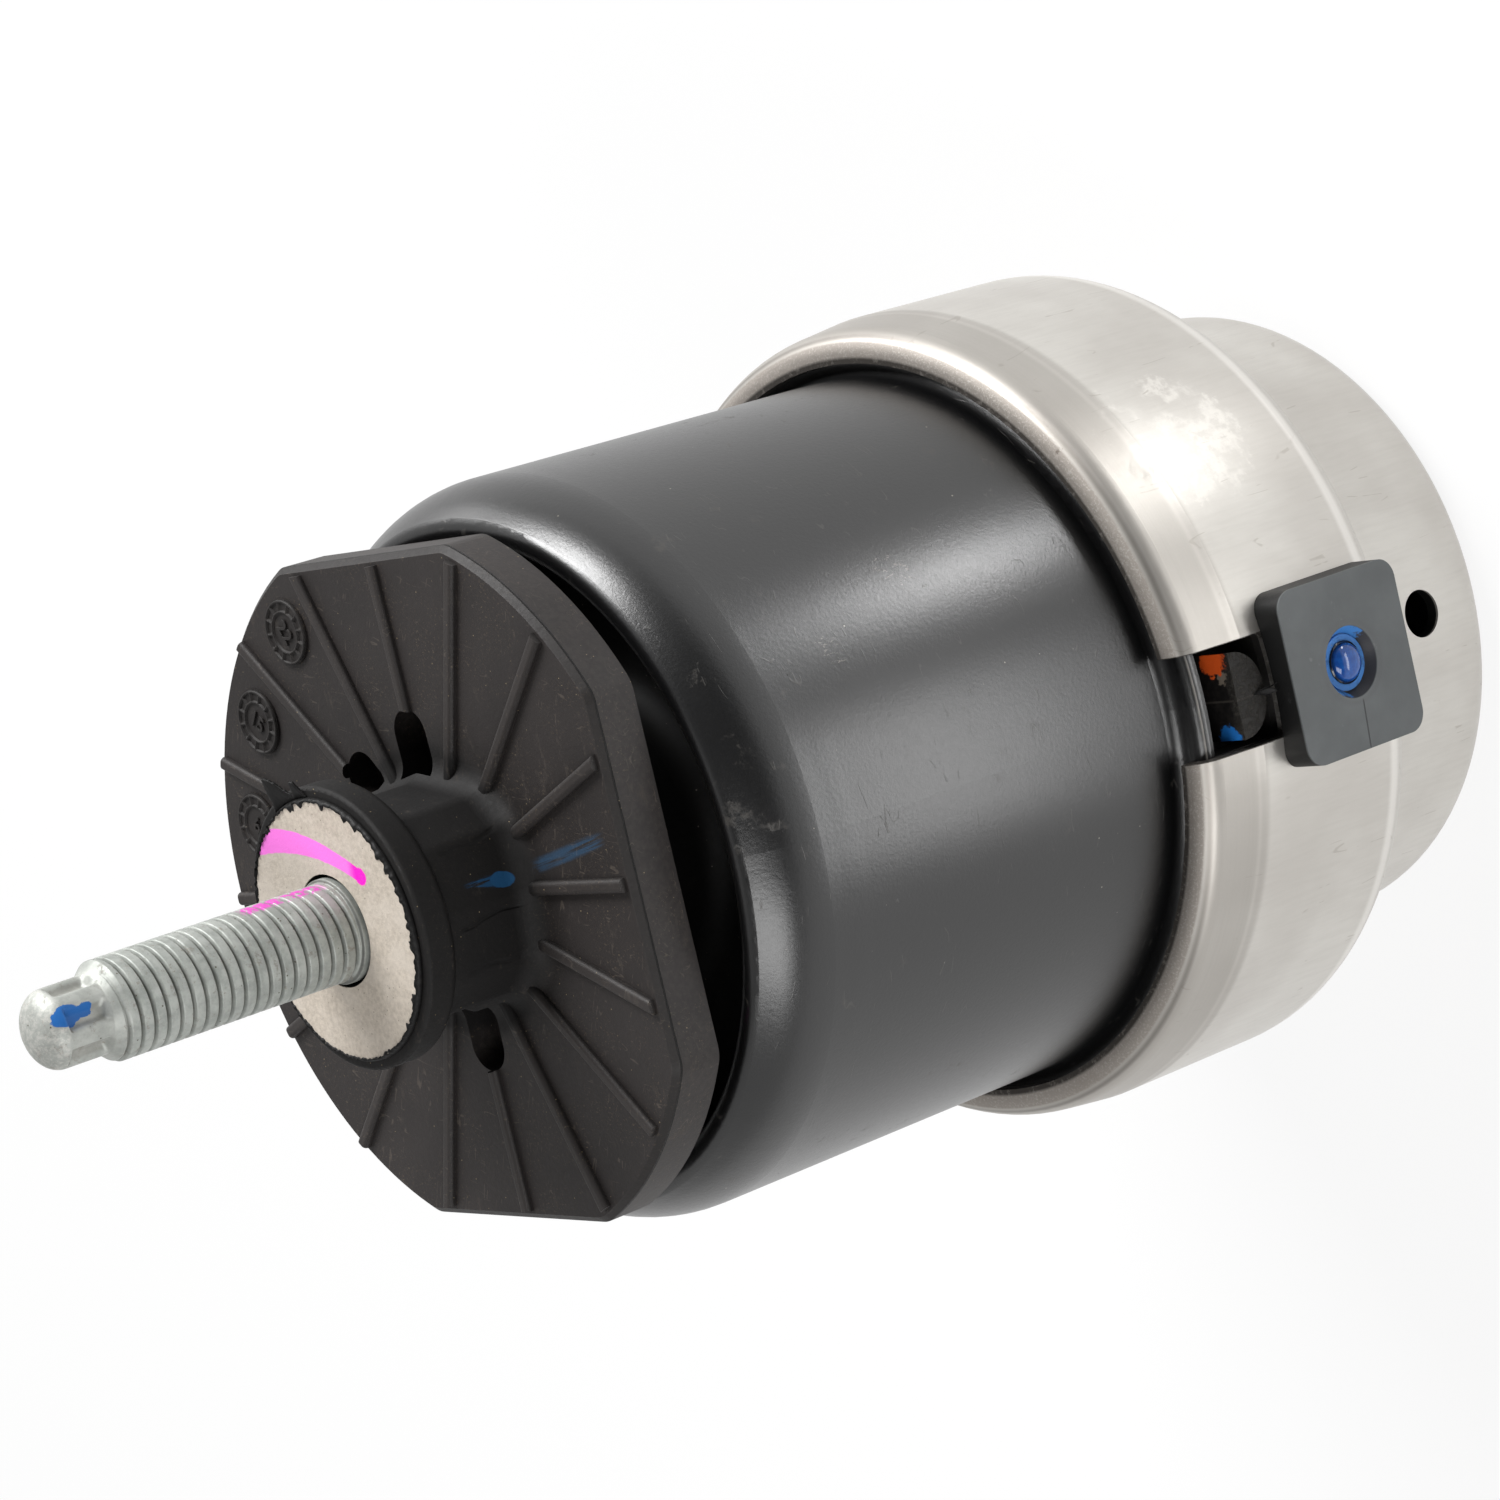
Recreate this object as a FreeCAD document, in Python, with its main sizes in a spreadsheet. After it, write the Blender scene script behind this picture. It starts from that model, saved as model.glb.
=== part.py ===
import FreeCAD, Part
import math
import os
import Sketcher
from FreeCAD import Vector

# Engine mount: a steel can with a hydraulic rubber spring inside, a cast core that carries the
# engine stud, and a ribbed rubber stop plate on the core's neck. Millimetres, +Z up along the
# stud, origin at the centre of the flat base, +X through the locating pad and the slot.

DRIVING = {
    # stepped housing: every radius hangs on can_r and every height on can_floor
    "can_r": 53.4, "can_wall": 1.8, "can_floor": 29.0, "can_round": 4.2, "cup_step": 11.3,
    "cup_round": 4.5, "step_round": 2.0, "crease_rise": 5.7, "crimp_step": 1.1,
    "crimp_rise": 9.4, "crimp_round": 3.3, "crimp_reach": 5.0, "base_hole": 6.6,
    "slot_width": 13.2, "slot_depth": 14.0, "slot_round": 1.2, "vent_r": 3.1,
    "vent_drop": 16.0,
    # locating pad and plug
    "pad_proud": 3.3, "pad_width": 22.0, "pad_high": 21.0, "pad_rise": 13.2, "pad_round": 2.6,
    "recess_r": 4.5, "recess_deep": 1.5, "recess_floor_r": 3.6,
    "plug_r": 2.2, "plug_head_r": 2.7, "plug_head": 1.5, "plug_depth": 9.4, "seal_r": 3.5,
    "seal_thick": 0.3,
    # rubber spring, its ring, channel plates and diaphragm
    "ring_wall": 4.5, "spring_lip": 5.0, "spring_foot": 3.0, "spring_waist": 12.0,
    "spring_cover": 2.0, "spring_rise": 14.0, "spring_tip": 4.0, "tip_round": 3.0,
    "lug_width": 10.8, "lug_sunk": 0.6, "lug_drop": 3.0, "lug_high": 4.9, "lug_round": 4.6,
    "plate_gap": 0.1, "bead_thick": 2.6, "clamp_thick": 2.1, "clamp_inset": 1.0,
    "cover_thick": 3.5, "channel_high": 11.5, "track_at": 13.4, "track_wide": 7.5,
    "track_high": 7.0, "window_r": 20.0, "seat_r": 28.5, "seat_high": 4.6, "disc_gap": 0.3,
    "disc_round": 0.8, "skin": 2.0, "bag_in": 6.6, "bag_drop": 14.0, "bag_round": 9.0,
    "bend_round": 1.5, "opening_r": 3.0, "nut_flat": 9.0, "nut_high": 10.0,
    "nut_thread_r": 5.1,
    # drawn cap
    "cap_step": 6.8, "cap_wall": 2.0, "cap_bevel": 7.0, "cap_shoulder": 12.0,
    "cap_bead": 2.0, "bead_hang": 6.8, "cap_flare": 1.8,
    # cast core and its rebound buffer
    "core_lift": 44.4, "rebound_play": 4.1, "flange_edge": 6.0, "cone_in": 10.5,
    "cone_drop": 8.0, "core_depth": 30.0, "core_tip_in": 15.0, "stem_r": 16.0,
    "stem_fillet": 4.0, "neck_r": 11.0, "boss_r": 15.6, "boss_depth": 5.2, "hole_r": 6.9,
    "hole_depth": 8.0, "buffer_skin": 2.0, "buffer_top": 3.5, "buffer_round": 1.5,
    "rebound_gap": 6.0,
    # stud
    "stud_r": 6.0, "shank_r": 5.4, "stud_reach": 42.2, "thread_reach": 33.4, "dog_r": 4.7,
    "dog_dome": 2.0, "press_r": 6.6, "press_depth": 36.0,
    # ribbed stop buffer: a round plate, off the axis by plate_shift, with three flats; its back
    # is plate_lift over the sharp corner from which the cap's bead is rounded
    "plate_lift": 1.0, "plate_thick": 6.5, "neck_high": 17.2, "plate_inset": 1.9,
    "plate_shift": 3.0, "side_flat": 3.6, "front_flat": 8.8, "plate_round": 4.0,
    "edge_bevel": 0.8, "rib_count": 16.0, "rib_width": 1.7, "rib_high": 0.9,
    "rib_round": 0.6, "rib_inset": 1.2, "sunk": 1.5,
    "oval_long": 16.2, "oval_short": 13.9, "oval_round": 2.5, "root_round": 3.0,
    "collar_proud": 1.7, "collar_depth": 5.0, "collar_sunk": 0.6, "collar_round": 1.2,
    "lip_round": 0.5, "pit_r": 19.2, "pit_width": 6.4, "pit_depth": 4.0,
    "dial_r": 4.2, "dial_in": 5.1, "dial_high": 0.25,
    "insert_edge": 11.2, "insert_wide": 9.0, "insert_rise": 1.9, "insert_thick": 2.5,
}

# Sizes worked out from the driving ones, each from those before it.
SUMS = {
    "inner_r": "can_r - can_wall",
    "cup_r": "can_r - cup_step",
    "crimp_r": "can_r - crimp_step",
    "crimp_edge": "can_r - crimp_reach",
    "chamber_r": "inner_r - plate_gap",
    "ring_outer": "inner_r - crimp_step",
    "ring_inner": "ring_outer - ring_wall",
    "spring_inner": "ring_inner - spring_lip",
    "track_in": "can_r - track_at",
    "track_out": "track_in + track_wide",
    "bag_r": "cup_r - bag_in",
    "pad_face": "can_r + pad_proud",
    "recess_floor": "pad_face - recess_deep",
    "plug_end": "can_r - plug_depth",
    "cap_r": "can_r - cap_step",
    "flange_r": "cap_r - cap_wall - rebound_play",
    "cone_r": "flange_r - cone_in",
    "core_tip_r": "cone_r - core_tip_in",
    "sleeve_r": "stem_r + buffer_skin",
    "plate_r": "cap_r - plate_inset",
    "flat_y": "plate_r - side_flat",
    "flat_x": "plate_r - front_flat",
    "dial_at": "plate_r - dial_in",
    "insert_out": "plate_r - insert_edge",
    "insert_in": "insert_out - insert_wide",
    "collar_r": "boss_r + collar_proud",
    "step_top": "can_floor + can_wall",
    "bead_top": "step_top + bead_thick",
    "cover_low": "bead_top + clamp_thick",
    "cover_high": "cover_low + cover_thick",
    "track_roof": "cover_high + track_high",
    "seat_roof": "cover_high + seat_high",
    "ring_low": "cover_high + channel_high",
    "crease_z": "ring_low + crease_rise",
    "crimp_z": "crease_z + crimp_rise",
    "flange_under": "crimp_z - can_wall - cap_wall",
    "slot_low": "crimp_z - slot_depth",
    "pad_z": "can_floor + pad_rise",
    "vent_z": "can_floor - vent_drop",
    "bag_low": "can_floor - bag_drop",
    "flange_z": "crimp_z + core_lift",
    "flange_low": "flange_z - flange_edge",
    "cone_z": "flange_z - cone_drop",
    "core_bottom": "flange_z - core_depth",
    "cap_lip": "flange_z + buffer_top + rebound_gap",
    "cap_turn": "cap_lip + bead_hang",
    "cap_peak": "cap_turn + cap_bevel",
    "plate_back": "cap_peak + plate_lift",
    "plate_front": "plate_back + plate_thick",
    "insert_low": "plate_back + insert_rise",
    "insert_high": "insert_low + insert_thick",
    "boss_z": "plate_front + neck_high",
    "boss_seat": "boss_z - boss_depth",
    "collar_low": "boss_z - collar_depth",
    "collar_top": "boss_z - collar_sunk",
    "hole_floor": "boss_z - hole_depth",
    "press_z": "boss_z - press_depth",
    "thread_top": "boss_z + thread_reach",
    "stud_top": "boss_z + stud_reach",
}

# Degrees round the axis of each moulded pit and how far out the neck's wall is there, and
# places of the date dials counted in ribs.
PITS = ((92, "oval_short"), (131, "oval_long"), (-91, "oval_short"))
DIAL_BAYS = (5.46, 6.46, 7.39)
# A length that counts as nothing, and a share just under one that keeps two arcs apart.
SMALL = 0.01
ALMOST = 0.98
# Half the length of a block that cuts a flat, as a share of the plate's radius.
BLOCK_SHARE = 0.6

doc = FreeCAD.newDocument("EngineMount")
sheet = doc.addObject("Spreadsheet::Sheet", "Sizes")
for row, (alias, number) in enumerate(DRIVING.items(), start=1):
    sheet.set(f"A{row}", alias)
    sheet.set(f"B{row}", str(number))
    sheet.setAlias(f"B{row}", alias)
doc.recompute()


class Size:
    """A number together with its formula over the sheet's cells."""

    def __init__(self, value, formula):
        self.value = value
        self.formula = formula

    def __add__(self, other):
        other = size(other)
        return Size(self.value + other.value, f"({self.formula} + {other.formula})")

    def __sub__(self, other):
        other = size(other)
        return Size(self.value - other.value, f"({self.formula} - {other.formula})")

    def __mul__(self, other):
        other = size(other)
        return Size(self.value * other.value, f"({self.formula} * {other.formula})")

    def __truediv__(self, other):
        other = size(other)
        return Size(self.value / other.value, f"({self.formula} / {other.formula})")

    def __neg__(self):
        return Size(-self.value, f"(0 - {self.formula})")


def size(thing):
    """Turn a plain number into a Size and leave a Size as it is."""
    if isinstance(thing, Size):
        return thing
    return Size(float(thing), repr(float(thing)))


sums = {}


def dim(alias):
    """The sheet's cell of that alias, or a sum of such cells, as a Size."""
    if alias in sums:
        return sums[alias]
    return Size(float(sheet.get(alias)), f"Sizes.{alias}")


for alias, terms in SUMS.items():
    words = terms.split()
    total = dim(words[0])
    for sign, word in zip(words[1::2], words[2::2]):
        total = total + dim(word) if sign == "+" else total - dim(word)
    sums[alias] = total


def origin_item(body, role):
    """The body's own origin plane or axis of that role."""
    return next(item for item in body.Origin.OriginFeatures if item.Role == role)


def new_body(label):
    """An empty body whose label names its file."""
    body = doc.addObject("PartDesign::Body", label)
    body.Label = label
    return body


def new_sketch(body, name, role, height=0):
    """A sketch on one of the body's origin planes, lifted along the plane's normal."""
    sketch = body.newObject("Sketcher::SketchObject", name)
    sketch.AttachmentSupport = [(origin_item(body, role), "")]
    sketch.MapMode = "FlatFace"
    lift = size(height)
    if lift.value:
        sketch.AttachmentOffset = FreeCAD.Placement(Vector(0, 0, lift.value), FreeCAD.Rotation())
        sketch.setExpression("AttachmentOffset.Base.z", lift.formula)
    return sketch


def bind(sketch, kind, first, second, value):
    """Add a driving distance, bound to its formula; a negative one is measured backwards."""
    if value.value < 0:
        first, second, value = second, first, -value
    index = sketch.addConstraint(Sketcher.Constraint(kind, *first, *second, value.value))
    sketch.setExpression(f"Constraints[{index}]", value.formula)


def place_point(sketch, item, end, across, up):
    """Hold one point of the sketch at its two bound distances from the origin."""
    across = size(across)
    up = size(up)
    if abs(across.value) < 1e-9:
        sketch.addConstraint(Sketcher.Constraint("PointOnObject", item, end, -2))
    else:
        bind(sketch, "DistanceX", (-1, 1), (item, end), across)
    if abs(up.value) < 1e-9:
        sketch.addConstraint(Sketcher.Constraint("PointOnObject", item, end, -1))
    else:
        bind(sketch, "DistanceY", (-1, 1), (item, end), up)


def outline(sketch, corners):
    """Draw a closed outline through corners (across, up) or (across, up, radius).

    A corner with a radius becomes an arc tangent to its two neighbours, and the sharp corner
    stays as a construction point that both neighbours pass through.
    """
    count = len(corners)
    points = [Vector(size(corner[0]).value, size(corner[1]).value, 0) for corner in corners]
    radii = [size(corner[2]) if len(corner) > 2 else None for corner in corners]
    starts = []
    ends = []
    centres = []
    for index, point in enumerate(points):
        before = (points[index - 1] - point).normalize()
        after = (points[(index + 1) % count] - point).normalize()
        if radii[index] is None:
            starts.append(point)
            ends.append(point)
            centres.append(None)
            continue
        half = before.getAngle(after) / 2
        reach = radii[index].value / math.tan(half)
        starts.append(point + before * reach)
        ends.append(point + after * reach)
        middle = (before + after).normalize()
        centres.append(point + middle * (radii[index].value / math.sin(half)))
    lines = []
    for index in range(count):
        segment = Part.LineSegment(ends[index], starts[(index + 1) % count])
        lines.append(sketch.addGeometry(segment, False))
    for index in range(count):
        line_in = lines[index - 1]
        line_out = lines[index]
        across, up = corners[index][:2]
        if radii[index] is None:
            sketch.addConstraint(Sketcher.Constraint("Coincident", line_in, 2, line_out, 1))
            place_point(sketch, line_out, 1, across, up)
            continue
        from_centre = starts[index] - centres[index]
        to_centre = ends[index] - centres[index]
        turns_left = from_centre.cross(to_centre).z > 0
        first = math.atan2(from_centre.y, from_centre.x)
        last = math.atan2(to_centre.y, to_centre.x)
        circle = Part.Circle(centres[index], Vector(0, 0, 1), radii[index].value)
        span = (first, last) if turns_left else (last, first)
        arc = sketch.addGeometry(Part.ArcOfCircle(circle, *span), False)
        near, far = (1, 2) if turns_left else (2, 1)
        sketch.addConstraint(Sketcher.Constraint("Tangent", line_in, 2, arc, near))
        sketch.addConstraint(Sketcher.Constraint("Tangent", arc, far, line_out, 1))
        held = sketch.addConstraint(Sketcher.Constraint("Radius", arc, radii[index].value))
        sketch.setExpression(f"Constraints[{held}]", radii[index].formula)
        corner_point = sketch.addGeometry(Part.Point(points[index]), True)
        place_point(sketch, corner_point, 1, across, up)
        sketch.addConstraint(Sketcher.Constraint("PointOnObject", corner_point, 1, line_in))
        sketch.addConstraint(Sketcher.Constraint("PointOnObject", corner_point, 1, line_out))


def ring_outline(sketch, across, up, radius):
    """A circle of bound radius about a bound centre."""
    radius = size(radius)
    middle = Vector(size(across).value, size(up).value, 0)
    item = sketch.addGeometry(Part.Circle(middle, Vector(0, 0, 1), radius.value), False)
    held = sketch.addConstraint(Sketcher.Constraint("Radius", item, radius.value))
    sketch.setExpression(f"Constraints[{held}]", radius.formula)
    if abs(middle.x) < 1e-9 and abs(middle.y) < 1e-9:
        sketch.addConstraint(Sketcher.Constraint("Coincident", item, 3, -1, 1))
    else:
        place_point(sketch, item, 3, across, up)


def revolve(body, name, corners, axis="V_Axis", kind="PartDesign::Revolution"):
    """Turn an outline of (across, height) corners once round an axis of its sketch."""
    sketch = new_sketch(body, f"{name}_outline", "XZ_Plane")
    outline(sketch, corners)
    turned = body.newObject(kind, name)
    turned.Profile = sketch
    turned.ReferenceAxis = (sketch, [axis])
    turned.Angle = 360
    doc.recompute()
    return turned


def groove(body, name, corners, axis="V_Axis"):
    """Turn an outline out of the body and make sure that something was cut."""
    before = body.Shape.Volume
    cut = revolve(body, name, corners, axis, "PartDesign::Groove")
    if cut.Shape.Volume > before - SMALL:
        raise RuntimeError(f"{name} cuts nothing")


def pad(body, name, sketch, length, downwards=False):
    """Raise a sketch into a solid."""
    length = size(length)
    raised = body.newObject("PartDesign::Pad", name)
    raised.Profile = sketch
    raised.Length = length.value
    raised.setExpression("Length", length.formula)
    raised.Reversed = downwards
    doc.recompute()
    return raised


def pocket(body, name, sketch, length, upwards=False):
    """Cut a sketch out of the body and make sure that something was cut."""
    length = size(length)
    before = body.Shape.Volume
    cut = body.newObject("PartDesign::Pocket", name)
    cut.Profile = sketch
    cut.Length = length.value
    cut.setExpression("Length", length.formula)
    cut.Reversed = upwards
    doc.recompute()
    if cut.Shape.Volume > before - SMALL:
        raise RuntimeError(f"{name} cuts nothing")
    return cut


def polar_pattern(body, name, feature, count):
    """Repeat a feature evenly round the vertical axis."""
    pattern = body.newObject("PartDesign::PolarPattern", name)
    pattern.Originals = [feature]
    pattern.Axis = (origin_item(body, "Z_Axis"), [""])
    pattern.Angle = 360
    pattern.Occurrences = int(count.value)
    pattern.setExpression("Occurrences", count.formula)
    body.Tip = pattern
    doc.recompute()


def turn_sketch(sketch, degrees):
    """Turn a sketch in its own plane about the origin."""
    offset = sketch.AttachmentOffset
    offset.Rotation = FreeCAD.Rotation(Vector(0, 0, 1), degrees)
    sketch.AttachmentOffset = offset


def edge_names(feature, wanted):
    """Names of the feature's edges that a test picks."""
    return [f"Edge{index}" for index, edge in enumerate(feature.Shape.Edges, start=1)
            if wanted(edge)]


def round_edges(body, name, feature, edges, radius):
    """Fillet the named edges."""
    fillet = body.newObject("PartDesign::Fillet", name)
    fillet.Base = (feature, edges)
    fillet.Radius = radius.value
    fillet.setExpression("Radius", radius.formula)
    doc.recompute()
    return fillet


def bevel_edges(body, name, feature, edges, width):
    """Cut a bevel of one width along the named edges."""
    bevel = body.newObject("PartDesign::Chamfer", name)
    bevel.Base = (feature, edges)
    bevel.Size = width.value
    bevel.setExpression("Size", width.formula)
    doc.recompute()
    return bevel


def make_stud():
    """Engine stud: threaded shank, pressed root in the core and a domed drive end."""
    body = new_body("stud")
    slope = dim("stud_r") - dim("dog_r")
    revolve(body, "turned", [
        (0, dim("press_z")),
        (dim("press_r"), dim("press_z")),
        (dim("press_r"), dim("hole_floor")),
        (dim("shank_r"), dim("hole_floor")),
        (dim("shank_r"), dim("boss_z")),
        (dim("stud_r"), dim("boss_z")),
        (dim("stud_r"), dim("thread_top") - slope),
        (dim("dog_r"), dim("thread_top")),
        (dim("dog_r"), dim("stud_top"), dim("dog_dome")),
        (0, dim("stud_top")),
    ])
    return body


def make_core():
    """Cast core: boss, neck through the stop buffer, stem, rebound flange and bonded cone."""
    body = new_body("core")
    revolve(body, "cast", [
        (0, dim("core_bottom")),
        (dim("core_tip_r"), dim("core_bottom")),
        (dim("cone_r"), dim("cone_z")),
        (dim("flange_r"), dim("flange_low")),
        (dim("flange_r"), dim("flange_z")),
        (dim("stem_r"), dim("flange_z"), dim("stem_fillet")),
        (dim("stem_r"), dim("plate_back")),
        (dim("neck_r"), dim("plate_back")),
        (dim("neck_r"), dim("boss_seat")),
        (dim("boss_r"), dim("boss_seat")),
        (dim("boss_r"), dim("boss_z")),
        (dim("hole_r"), dim("boss_z")),
        (dim("hole_r"), dim("hole_floor")),
        (dim("press_r"), dim("hole_floor")),
        (dim("press_r"), dim("press_z")),
        (0, dim("press_z")),
    ])
    return body


def add_ribs(body, name, face, start, downwards):
    """Radial ribs with rounded backs on one face of the stop plate, short of its edge."""
    half = dim("rib_width") / 2
    rise = -dim("rib_high") if downwards else dim("rib_high")
    profile = new_sketch(body, f"{name}_profile", "YZ_Plane", start)
    outline(profile, [
        (-half, face),
        (half, face),
        (half, face + rise, dim("rib_round")),
        (-half, face + rise, dim("rib_round")),
    ])
    rib = pad(body, name, profile, dim("plate_r") + dim("plate_shift") - start)
    polar_pattern(body, f"{name}_round", rib, dim("rib_count"))
    tips = new_sketch(body, f"{name}_tips", "XY_Plane", face + rise)
    ring_outline(tips, -dim("plate_shift"), 0, dim("plate_r") - dim("rib_inset"))
    ring_outline(tips, -dim("plate_shift"), 0, dim("plate_r") * 2)
    pocket(body, f"{name}_tip_trim", tips, dim("rib_high"), upwards=downwards)
    ends = new_sketch(body, f"{name}_ends", "XY_Plane", face + rise)
    cut_flats(ends, dim("rib_inset"))
    pocket(body, f"{name}_end_trim", ends, dim("rib_high"), upwards=downwards)


def cut_flats(sketch, inset):
    """Three blocks outside the flats of the stop plate, moved in by an inset."""
    half = dim("plate_r") * BLOCK_SHARE
    shift = dim("plate_shift")
    near = dim("flat_x") - inset
    far = near + dim("plate_r")
    outline(sketch, [(near, -half), (far, -half), (far, half), (near, half)])
    for side in (1, -1):
        near = (dim("flat_y") - inset) * side
        far = near + dim("plate_r") * side
        outline(sketch, [(-half - shift, near), (half - shift, near), (half - shift, far),
                         (-half - shift, far)])


def oval_corners():
    """Corners of the neck's faceted oval, a quarter of them given as shares of its half axes."""
    shares = [(1.0, 0.0), (0.94, 0.56), (0.68, 0.85), (0.0, 1.0)]
    quarter = [(dim("oval_long") * across, dim("oval_short") * up) for across, up in shares]
    corners = quarter + [(-across, up) for across, up in reversed(quarter[:-1])]
    corners += [(across, -up) for across, up in reversed(corners[1:-1])]
    return [(across, up, dim("oval_round")) for across, up in corners]


def make_stop_buffer():
    """Rubber stop: collar on the boss, oval neck, and a plate with ribs on both faces."""
    body = new_body("stop_buffer")
    front = dim("plate_front")
    back = dim("plate_back")
    plate = new_sketch(body, "plate_outline", "XY_Plane", back)
    ring_outline(plate, -dim("plate_shift"), 0, dim("plate_r"))
    pad(body, "plate", plate, dim("plate_thick"))
    flats = new_sketch(body, "flats_outline", "XY_Plane", front)
    cut_flats(flats, size(0))
    slab = pocket(body, "flats", flats, dim("plate_thick"))
    upright = edge_names(slab, lambda edge: edge.BoundBox.ZLength > dim("plate_thick").value / 2)
    slab = round_edges(body, "plate_corners", slab, upright, dim("plate_round"))
    rim = edge_names(slab, lambda edge: edge.BoundBox.ZMin > front.value - SMALL)
    bevel_edges(body, "front_bevel", slab, rim, dim("edge_bevel"))
    neck = new_sketch(body, "neck_outline", "XY_Plane", front - dim("sunk"))
    outline(neck, oval_corners())
    column = pad(body, "neck", neck, dim("collar_low") - front + dim("sunk") * 2)
    reach = dim("oval_long").value + dim("oval_round").value
    root = edge_names(column, lambda edge: abs(edge.BoundBox.ZMin - front.value) < SMALL
                      and edge.BoundBox.ZLength < SMALL
                      and max(math.hypot(end.X, end.Y) for end in edge.Vertexes) < reach)
    round_edges(body, "neck_root", column, root, dim("root_round"))
    revolve(body, "collar", [
        (dim("neck_r"), dim("collar_low")),
        (dim("collar_r"), dim("collar_low"), dim("collar_round")),
        (dim("collar_r"), dim("collar_top"), dim("lip_round")),
        (dim("neck_r"), dim("collar_top")),
    ])
    add_ribs(body, "front_rib", front, dim("oval_short") - dim("sunk"), False)
    add_ribs(body, "back_rib", back, dim("stem_r") + dim("rib_high"), True)
    half = dim("pit_width") / 2
    for number, (degrees, neck_side) in enumerate(PITS, start=1):
        pit = new_sketch(body, f"pit_{number}_outline", "XY_Plane", front + dim("rib_high"))
        turn_sketch(pit, degrees)
        start = dim(neck_side) - dim("lip_round")
        outline(pit, [
            (start, -half),
            (dim("pit_r") + half, -half, half * ALMOST),
            (dim("pit_r") + half, half, half * ALMOST),
            (start, half),
        ])
        pocket(body, f"pit_{number}", pit, dim("pit_depth") + dim("rib_high"))
    for number, place in enumerate(DIAL_BAYS, start=1):
        dial = new_sketch(body, f"dial_{number}_outline", "XY_Plane", front - dim("sunk"))
        turn_sketch(dial, 360 / dim("rib_count").value * place)
        ring_outline(dial, dim("dial_at"), 0, dim("dial_r"))
        pad(body, f"dial_{number}", dial, dim("dial_high") + dim("sunk"))
    bore = new_sketch(body, "bore_outline", "XY_Plane", back - dim("rib_high"))
    ring_outline(bore, 0, 0, dim("neck_r"))
    pocket(body, "bore", bore, dim("boss_z") - back + dim("rib_high") * 2, upwards=True)
    boss_seat = new_sketch(body, "boss_seat_outline", "XY_Plane", dim("boss_z"))
    ring_outline(boss_seat, 0, 0, dim("boss_r"))
    pocket(body, "boss_seat", boss_seat, dim("boss_depth"))
    groove(body, "insert_hollow", insert_corners())
    return body


def insert_corners():
    """Section of the steel ring inside the stop plate."""
    return [
        (dim("insert_in"), dim("insert_low")),
        (dim("insert_out"), dim("insert_low")),
        (dim("insert_out"), dim("insert_high")),
        (dim("insert_in"), dim("insert_high")),
    ]


def make_stop_insert():
    """Steel stiffening ring moulded into the stop buffer."""
    body = new_body("stop_insert")
    revolve(body, "ring", insert_corners())
    return body


def make_cap():
    """Drawn cap: flange under the housing's lip, straight wall, shoulder and turned-in bead."""
    body = new_body("cap")
    wall = dim("cap_wall")
    outer = dim("cap_r")
    flange_top = dim("crimp_z") - dim("can_wall")
    peak = dim("cap_peak")
    lip = outer - dim("cap_bevel")
    revolve(body, "drawn", [
        (dim("ring_outer"), dim("flange_under")),
        (dim("ring_outer"), flange_top, dim("crimp_round") - dim("can_wall")),
        (outer, flange_top, dim("cap_flare")),
        (outer, dim("cap_turn"), dim("cap_shoulder")),
        (lip, peak, dim("cap_bead")),
        (lip, dim("cap_lip")),
        (lip + wall, dim("cap_lip")),
        (lip + wall, peak - wall * (1 + math.sqrt(2))),
        (outer - wall, dim("cap_turn") - wall * (math.sqrt(2) - 1), dim("cap_shoulder") - wall),
        (outer - wall, dim("flange_under"), dim("cap_flare") + wall),
    ])
    return body


def make_housing():
    """Housing: one stepped can, its rim rolled in over the cap's flange, slot and vent."""
    body = new_body("housing")
    wall = dim("can_wall")
    crimp = dim("crimp_r")
    revolve(body, "drawn", [
        (dim("base_hole"), 0),
        (dim("cup_r"), 0, dim("cup_round")),
        (dim("cup_r"), dim("can_floor"), dim("step_round")),
        (dim("can_r"), dim("can_floor"), dim("can_round")),
        (dim("can_r"), dim("crease_z")),
        (crimp, dim("crimp_z"), dim("crimp_round")),
        (dim("crimp_edge"), dim("crimp_z")),
        (dim("crimp_edge"), dim("crimp_z") - wall),
        (crimp - wall, dim("crimp_z") - wall, dim("crimp_round") - wall),
        (dim("inner_r"), dim("crease_z")),
        (dim("inner_r"), dim("step_top"), dim("can_round") - wall),
        (dim("cup_r") - wall, dim("step_top"), dim("step_round") + wall),
        (dim("cup_r") - wall, wall, dim("cup_round") - wall),
        (dim("base_hole"), wall),
    ])
    half = dim("slot_width") / 2
    reach = dim("can_r") + wall
    slot = new_sketch(body, "slot_outline", "YZ_Plane")
    outline(slot, [
        (-half, dim("slot_low"), dim("slot_round")),
        (half, dim("slot_low"), dim("slot_round")),
        (half, dim("crimp_z") + wall),
        (-half, dim("crimp_z") + wall),
    ])
    pocket(body, "slot", slot, reach, upwards=True)
    for name, radius, height in (("vent", "vent_r", "vent_z"), ("port", "plug_r", "pad_z")):
        hole = new_sketch(body, f"{name}_outline", "YZ_Plane")
        ring_outline(hole, 0, dim(height), dim(radius))
        pocket(body, name, hole, reach, upwards=True)
    return body


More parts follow.
